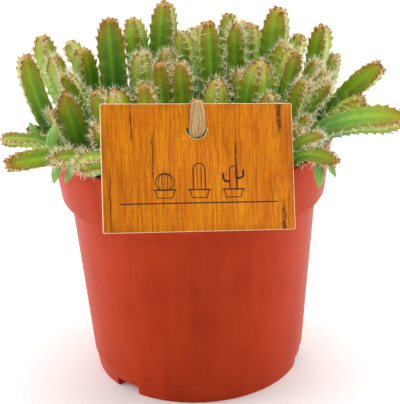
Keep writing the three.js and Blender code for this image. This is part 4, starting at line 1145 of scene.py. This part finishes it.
# Soil
def value_noise(x, y, cell, random):
    """Smooth random heights over the plane, from -1 to 1."""
    size = int(RELIEF_SPAN / cell) + 3
    table = random.uniform(-1, 1, (size, size))
    u = (x + RELIEF_SPAN / 2) / cell
    v = (y + RELIEF_SPAN / 2) / cell
    i, j = np.floor(u).astype(int), np.floor(v).astype(int)
    s, t = smooth(u - i, 0, 1), smooth(v - j, 0, 1)
    low = table[i, j] * (1 - s) + table[i + 1, j] * s
    high = table[i, j + 1] * (1 - s) + table[i + 1, j + 1] * s
    return low * (1 - t) + high * t


def soil_height(x, y):
    """The height of the soil's surface, from broad, middle and fine relief."""
    relief = 0
    for layer, (share, cell) in enumerate(((0.5, 17), (0.3, 5), (0.2, 1.7))):
        relief = relief + share * value_noise(x, y, cell, np.random.default_rng(RELIEF_SEED + layer))
    return SOIL_TOP + SOIL_RELIEF / 2 * (relief - 1)


def make_soil():
    random = np.random.default_rng(SOIL_SEED)
    edge = pot_inner_radius(SOIL_TOP) - SOIL_GAP
    radii = edge * np.sqrt(np.linspace(1, 0.0004, SOIL_RINGS))
    top = upright_rings([(radius, 0) for radius in radii], SOIL_SIDES)
    x, y = top[..., 0], top[..., 1]
    top[..., 2] = soil_height(x, y) - smooth(np.hypot(x, y), edge - 5, edge) * 0.9
    under = [(CHANNEL_OUTER_RADIUS, FLOOR_HEIGHT + SOIL_GAP),
             (pot_inner_radius(LEDGE_HEIGHT) - 0.9, LEDGE_HEIGHT + 1),
             (pot_inner_radius(BAND_FOOT - 1) - SOIL_GAP, BAND_FOOT - 0.5),
             (pot_inner_radius(BAND_FOOT + 3) - SOIL_GAP, BAND_FOOT + 3)]
    body = Solid()
    body.tube(np.concatenate((upright_rings(under, SOIL_SIDES), top)),
              [(0, 0, FLOOR_HEIGHT + SOIL_GAP), (0, 0, top[-1, -1, 2])], pale=0)
    add_crumbs(body, edge, random)
    add_fibres(body, edge, random)
    mesh = body.mesh("potting_soil", 50)
    place_piece("potting_soil", mesh, [soil_material()], ["soil"])


def scatter(count, edge, random):
    radius = edge * np.sqrt(random.uniform(0, 1, count)) - 0.6
    angle = random.uniform(0, 2 * math.pi, count)
    return radius * np.sin(angle), radius * np.cos(angle)


def add_crumbs(body, edge, random):
    """Irregular crumbs of peat pressed into the surface, a few of them pale."""
    x, y = scatter(CRUMB_COUNT, edge - 1.2, random)
    size = random.uniform(*CRUMB_SIZE, CRUMB_COUNT) ** 1.4 * 0.5
    golden = (1 + math.sqrt(5)) / 2
    corners = unit([(-1, golden, 0), (1, golden, 0), (-1, -golden, 0), (1, -golden, 0), (0, -1, golden),
                    (0, 1, golden), (0, -1, -golden), (0, 1, -golden), (golden, 0, -1), (golden, 0, 1),
                    (-golden, 0, -1), (-golden, 0, 1)])
    faces = [(0, 11, 5), (0, 5, 1), (0, 1, 7), (0, 7, 10), (0, 10, 11), (1, 5, 9), (5, 11, 4), (11, 10, 2),
             (10, 7, 6), (7, 1, 8), (3, 9, 4), (3, 4, 2), (3, 2, 6), (3, 6, 8), (3, 8, 9), (4, 9, 5),
             (2, 4, 11), (6, 2, 10), (8, 6, 7), (9, 8, 1)]
    stretch = random.uniform(0.6, 1.3, (CRUMB_COUNT, 1, 3))
    jitter = random.uniform(0.7, 1.25, (CRUMB_COUNT, 12, 1))
    points = corners[None] * jitter * stretch * size[:, None, None]
    points += np.stack((x, y, soil_height(x, y)), -1)[:, None]
    pale = np.where(random.uniform(0, 1, CRUMB_COUNT) > 0.93, random.uniform(0.4, 0.9, CRUMB_COUNT), 0)
    body.add(points, (), copies(faces, CRUMB_COUNT, 12), pale=np.repeat(pale, 12))


def add_fibres(body, edge, random):
    """Short bits of root and bark lying on the soil."""
    x, y = scatter(FIBRE_COUNT, edge - 4, random)
    heading = random.uniform(0, 2 * math.pi, FIBRE_COUNT)
    length = random.uniform(2.0, 6.0, FIBRE_COUNT)
    thick = random.uniform(0.1, 0.3, FIBRE_COUNT)
    share = np.linspace(-0.5, 0.5, 5)
    taper = np.array((0.4, 1, 1, 0.9, 0.3))[:, None, None]
    caps = [[3, 2, 1, 0], [16, 17, 18, 19]]
    for n in range(FIBRE_COUNT):
        way = heading[n] + random.uniform(-0.5, 0.5) * share * 2
        px = x[n] + length[n] * share * np.cos(way)
        py = y[n] + length[n] * share * np.sin(way)
        pz = soil_height(px, py) + thick[n] + random.uniform(0, 0.3, 5)
        across = np.stack((-np.sin(way), np.cos(way), np.zeros(5)), -1)
        ring = spokes(across, UP[None], full_turn(4)) * thick[n] * taper
        points = np.stack((px, py, pz), -1)[:, None] + ring
        body.add(points, np.concatenate((grid_quads(5, 4), caps)), pale=random.uniform(0.2, 0.8))


# Card
def card_directions():
    turn, lean = math.radians(CARD_TURN), math.radians(CARD_LEAN)
    level = np.array((math.cos(turn), math.sin(turn), 0))
    out = np.array((math.sin(turn), -math.cos(turn), 0)) * math.cos(lean) + UP * math.sin(lean)
    across, upward = rolled(level, np.cross(out, level), CARD_ROLL)
    return across, upward, out


CARD_ACROSS, CARD_UPWARD, CARD_OUT = card_directions()
# Dark cracks of the printed wood: place across the card, lower and upper end, and half width
CARD_CRACKS = ((36.0, 13.0, 30.0, 0.75), (37.0, -32.0, -13.0, 0.7), (16.3, -12.0, 13.0, 0.4),
               (-20.0, -8, 16, 0.25), (-29.0, 8.0, 30.0, 0.25), (-38.5, -30.0, 2.0, 0.25))


def on_card(x, y, z):
    return CARD_CENTRE + x * CARD_ACROSS + y * CARD_UPWARD + z * CARD_OUT


def card_outline(inset):
    right = CARD_WIDTH / 2 - inset
    top = CARD_HEIGHT / 2 - inset
    points = []
    for x, y, start in ((1, -1, -90), (1, 1, 0), (-1, 1, 90), (-1, -1, 180)):
        for step in range(5):
            angle = math.radians(start + step * 22.5)
            points.append((x * (right - CARD_CORNER) + CARD_CORNER * math.cos(angle),
                           y * (top - CARD_CORNER) + CARD_CORNER * math.sin(angle)))
    return points


def slot_outline(inset):
    """The crescent slot, clockwise; a negative inset makes it larger."""
    x, y = SLOT_CENTRE
    outer = SLOT_RADIUS - inset
    inner = SLOT_RADIUS - SLOT_OPENING + inset
    angles = np.linspace(math.pi, 2 * math.pi, SLOT_STEPS)
    low = [(x + outer * math.cos(a), y + outer * math.sin(a)) for a in angles]
    high = [(x + inner * math.cos(a), y + SLOT_HORN_DROP + inner * math.sin(a)) for a in angles[::-1]]
    return (low + high)[::-1]


def add_flat(body, loops, depth, facing, finish):
    """A flat face with a hole at a depth behind the card's face."""
    flat = [Vector((x, y, 0)) for loop in loops for x, y in loop]
    triangles = tessellate_polygon([[Vector((x, y, 0)) for x, y in loop] for loop in loops])
    ordered = []
    for a, b, c in triangles:
        area = (flat[b] - flat[a]).cross(flat[c] - flat[a]).z
        ordered.append((a, b, c) if area * facing > 0 else (a, c, b))
    points = [on_card(p.x, p.y, depth) for p in flat]
    body.add(points, (), ordered, finish, card_x=[p.x for p in flat], card_y=[p.y for p in flat])


def add_wall(body, loop, depth, next_loop, next_depth, finish):
    """A closed strip from one outline to the next."""
    points = [on_card(x, y, depth) for x, y in loop] + [on_card(x, y, next_depth) for x, y in next_loop]
    flat = np.array(list(loop) + list(next_loop))
    body.add(points, grid_quads(2, len(loop)), (), finish, card_x=flat[:, 0], card_y=flat[:, 1])


def stroke(body, points, width):
    """A printed line through the points, as a very thin strip on the card's face."""
    line = np.array(points, float)
    before = np.diff(line, axis=0, prepend=line[:1] * 2 - line[1:2])
    after = np.diff(line, axis=0, append=line[-1:] * 2 - line[-2:-1])
    way = unit(unit(before) + unit(after))
    across = np.stack((-way[:, 1], way[:, 0]), -1) * width / 2
    left, right = line + across, line - across
    rows = []
    for (lx, ly), (rx, ry) in zip(left, right):
        rows.append((on_card(rx, ry, -INK_ROOT), on_card(rx, ry, INK_HEIGHT),
                     on_card(lx, ly, INK_HEIGHT), on_card(lx, ly, -INK_ROOT)))
    last = 4 * (len(rows) - 1)
    caps = [[0, 1, 2, 3], [last + 3, last + 2, last + 1, last]]
    body.add(np.array(rows), np.concatenate((grid_quads(len(rows), 4)[:, ::-1], caps)), (), INK)


def arc(x, y, radius, start, end, steps=14, squash=1.0):
    angles = np.radians(np.linspace(start, end, steps))
    return [(x + radius * math.cos(a), y + radius * squash * math.sin(a)) for a in angles]


def column(x, foot, height, radius):
    """The outline of an upright column with a round top."""
    top = foot + height - radius
    return [(x - radius, foot), (x - radius, top), *arc(x, top, radius, 180, 0), (x + radius, foot)]


def draw_print(body):
    """A plain line drawing on the card: three small cacti in bowls over a thin rule."""
    rule = -15.1
    stroke(body, [(-34.5, rule), (0, rule + 0.05), (34.5, rule)], 0.5)
    foot = -9.4
    for x, kind in ((-15, "round"), (0, "tall"), (15, "branched")):
        stroke(body, [(x - 4.2, foot), (x - 3.2, foot - 3.4), (x + 3.2, foot - 3.4), (x + 4.2, foot)], 0.45)
        stroke(body, [(x - 4.9, foot), (x + 4.9, foot)], 0.55)
        if kind == "round":
            stroke(body, arc(x, foot + 3.2, 4.0, -52, 232, 26, 0.95), 0.45)
            for bulge in (1.3, 2.8):
                stroke(body, arc(x, foot + 3.2, bulge, -75, 75, 12, 3.7 / bulge), 0.3)
                stroke(body, arc(x, foot + 3.2, bulge, 105, 255, 12, 3.7 / bulge), 0.3)
        elif kind == "tall":
            stroke(body, column(x, foot, 11.2, 2.6), 0.45)
            for rib in (-0.9, 0.9):
                stroke(body, [(x + rib, foot + 0.3), (x + rib, foot + 10.2)], 0.3)
        else:
            stroke(body, column(x, foot, 9.8, 1.7), 0.45)
            for side, level in ((-1, 3.2), (1, 4.6)):
                bend = arc(x + side * 2.9, foot + level + 1.6, 1.5, 270, 270 + side * 90, 8)
                stroke(body, [(x + side * 1.7, foot + level + 0.1), *bend,
                              (x + side * 4.4, foot + level + 3.6)], 0.9)


def make_card():
    face, border = card_outline(CARD_BORDER), card_outline(0)
    slot, slot_border = slot_outline(0), slot_outline(-CARD_BORDER)
    body = Solid()
    lip = -CARD_LIP
    add_flat(body, [face, slot_border], 0, 1, PRINT)
    add_wall(body, border, lip, face, 0, BOARD)
    add_wall(body, slot, lip, slot_border, 0, BOARD)
    add_wall(body, border, -CARD_THICKNESS, border, lip, BOARD)
    add_wall(body, slot, -CARD_THICKNESS, slot, lip, BOARD)
    add_flat(body, [border, slot], -CARD_THICKNESS, -1, BOARD)
    draw_print(body)
    mesh = body.mesh("plant_card", 20)
    weld(mesh)
    place_piece("plant_card", mesh, [card_print_material(), card_board_material(), ink_material()],
                ["label_card"])


def weld(mesh):
    """Joins the outlines that neighbouring faces share."""
    made = bmesh.new()
    made.from_mesh(mesh)
    bmesh.ops.remove_doubles(made, verts=made.verts, dist=0.005 * MM)
    made.to_mesh(mesh)
    made.free()


# Raffia band
def band_route():
    """Stops of the band's middle line: the point, the way its outer face looks and its width."""
    slot_x, slot_y = SLOT_CENTRE
    lip = slot_y - SLOT_RADIUS + SLOT_OPENING / 2 + SLOT_HORN_DROP
    edge = CARD_HEIGHT / 2
    over = BAND_THICKNESS / 2 + BAND_GAP
    back = -CARD_THICKNESS - over
    middle = -CARD_THICKNESS / 2
    over_x = slot_x + 0.3
    post = next(plan for plan in STEMS if plan["bare"])
    turn_radius = post["radius"] + over + BAND_SLACK

    def around(angle, height, radius):
        direction = np.array((math.sin(angle), math.cos(angle), 0))
        centre = np.array((post["tip"][0], post["tip"][1], height))
        return centre + direction * radius, direction, BAND_NARROW

    return [
        (on_card(slot_x, lip, middle), -CARD_UPWARD, BAND_NARROW),
        (on_card(slot_x, lip + 1.1, over), CARD_OUT, BAND_MIDDLE),
        (on_card(over_x, lip + 5.2, over + 0.5), CARD_OUT, BAND_WIDE),
        (on_card(over_x, edge - 3.6, over + 0.4), CARD_OUT, BAND_MIDDLE),
        (on_card(over_x, edge + 0.2, over + 0.15), CARD_OUT + CARD_UPWARD, BAND_NARROW),
        (on_card(over_x, edge + over + BAND_GAP, middle), CARD_UPWARD, BAND_NARROW),
        (on_card(over_x, edge, back - 0.3), CARD_UPWARD - CARD_OUT, BAND_NARROW),
        around(math.pi * 0.62, 141, turn_radius + 1.4),
        around(math.pi * 0.3, 138.5, turn_radius),
        around(0, 137.5, turn_radius),
        around(-math.pi * 0.3, 136.5, turn_radius),
        around(-math.pi * 0.58, 136, turn_radius + 0.6),
        (on_card(slot_x, lip - 0.6, back - 1.2), -CARD_UPWARD, BAND_NARROW),
    ]


def closed_curve(values, count):
    """A smooth closed curve through the values."""
    values = np.asarray(values, float)
    number = len(values)
    t = np.arange(count) * number / count
    i = np.floor(t).astype(int)
    s = (t - i).reshape(-1, *[1] * (values.ndim - 1))
    p0, p1, p2, p3 = (values[(i + k) % number] for k in (-1, 0, 1, 2))
    tension = 0.42
    m1, m2 = tension * (p2 - p0), tension * (p3 - p1)
    return ((2 * s ** 3 - 3 * s ** 2 + 1) * p1 + (s ** 3 - 2 * s ** 2 + s) * m1
            + (3 * s ** 2 - 2 * s ** 3) * p2 + (s ** 3 - s ** 2) * m2)


def make_band():
    random = np.random.default_rng(BAND_SEED)
    stops = band_route()
    centre = closed_curve([s[0] for s in stops], BAND_ROWS)
    out = closed_curve([unit(s[1]) for s in stops], BAND_ROWS)
    width = closed_curve([s[2] for s in stops], BAND_ROWS)
    along = unit(np.roll(centre, -1, 0) - np.roll(centre, 1, 0))
    out = unit(out - along * np.sum(out * along, 1)[:, None])
    side = np.cross(along, out)
    travelled = np.concatenate(([0], np.cumsum(np.linalg.norm(np.diff(centre, axis=0), axis=1))))
    lanes = np.linspace(-0.5, 0.5, BAND_COLUMNS)
    grooves = random.uniform(-1, 1, BAND_COLUMNS)
    thin = BAND_THICKNESS * 0.5 * (1 - np.abs(lanes * 2) ** 6 * 0.55)
    waves = np.stack([0.05 * np.sin(travelled * random.uniform(0.1, 0.5) + random.uniform(0, 6))
                      for _ in lanes], -1)
    crown = 0.28 * (1 - (lanes * 2) ** 2) - 0.12
    fray = 1 + 0.05 * np.sin(travelled * 0.7) + 0.03 * np.sin(travelled * 1.9 + 1)
    across = side[:, None] * (lanes[None, :, None] * (width * fray)[:, None, None])
    lift = crown[None, :] + 0.07 * grooves[None, :] + waves
    outer = centre[:, None] + across + out[:, None] * (lift + thin[None, :] * 0.8)[..., None]
    inner = centre[:, None] + across + out[:, None] * (lift * 0.6 - thin[None, :] * 0.8)[..., None]
    ring = np.concatenate((outer, inner[:, ::-1]), 1)
    columns = ring.shape[1]
    quads = grid_quads(BAND_ROWS + 1, columns) % (BAND_ROWS * columns)
    lane_mm = np.concatenate((lanes, lanes[::-1])) * BAND_WIDE
    body = Solid()
    body.add(ring, quads, across=np.tile(lane_mm, BAND_ROWS), along=np.repeat(travelled, columns))
    mesh = body.mesh("raffia_band", 60)
    place_piece("raffia_band", mesh, [raffia_material()], ["label_band"])


# Studio
def area_light(name, place, aim, size, power):
    data = bpy.data.lights.new(name, "AREA")
    data.shape = "RECTANGLE"
    data.size, data.size_y = size
    data.energy = power
    made = linked(name, data)
    made.location = place
    made.rotation_mode = "QUATERNION"
    made.rotation_quaternion = (Vector(aim) - Vector(place)).to_track_quat("-Z", "Y")


def surroundings():
    """A white room: brightest overhead and at the sides, darker behind the camera."""
    world = bpy.data.worlds.new("studio")
    world.use_nodes = True
    tree = world.node_tree
    background = tree.nodes["Background"]
    way = tree.nodes.new("ShaderNodeTexCoord")
    split = tree.nodes.new("ShaderNodeSeparateXYZ")
    ramp = tree.nodes.new("ShaderNodeValToRGB")
    shift = tree.nodes.new("ShaderNodeMath")
    shift.operation = "MULTIPLY_ADD"
    shift.inputs[1].default_value = 0.5
    shift.inputs[2].default_value = 0.5
    tree.links.new(way.outputs["Generated"], split.inputs[0])
    tree.links.new(split.outputs["Y"], shift.inputs[0])
    tree.links.new(shift.outputs[0], ramp.inputs[0])
    tree.links.new(ramp.outputs[0], background.inputs["Color"])
    low, high = ramp.color_ramp.elements
    low.position, low.color = WORLD_FRONT
    high.position, high.color = WORLD_BACK
    background.inputs["Strength"].default_value = WORLD_STRENGTH
    return world


def studio():
    scene = bpy.context.scene
    scene.view_settings.view_transform = "Standard"
    scene.view_settings.look = "None"
    scene.world = surroundings()
    for name, softbox in SOFTBOXES.items():
        area_light(name, *softbox)
    floor_mesh = bpy.data.meshes.new("floor")
    corners = [(x * FLOOR_REACH, y * FLOOR_REACH, 0) for x, y in ((-1, -1), (1, -1), (1, 1), (-1, 1))]
    floor_mesh.from_pydata(corners, [], [(0, 1, 2, 3)])
    floor = linked("floor", floor_mesh)
    floor.data.materials.append(floor_material())


camera()
studio()
make_pot()
make_soil()
make_stems()
make_card()
make_band()
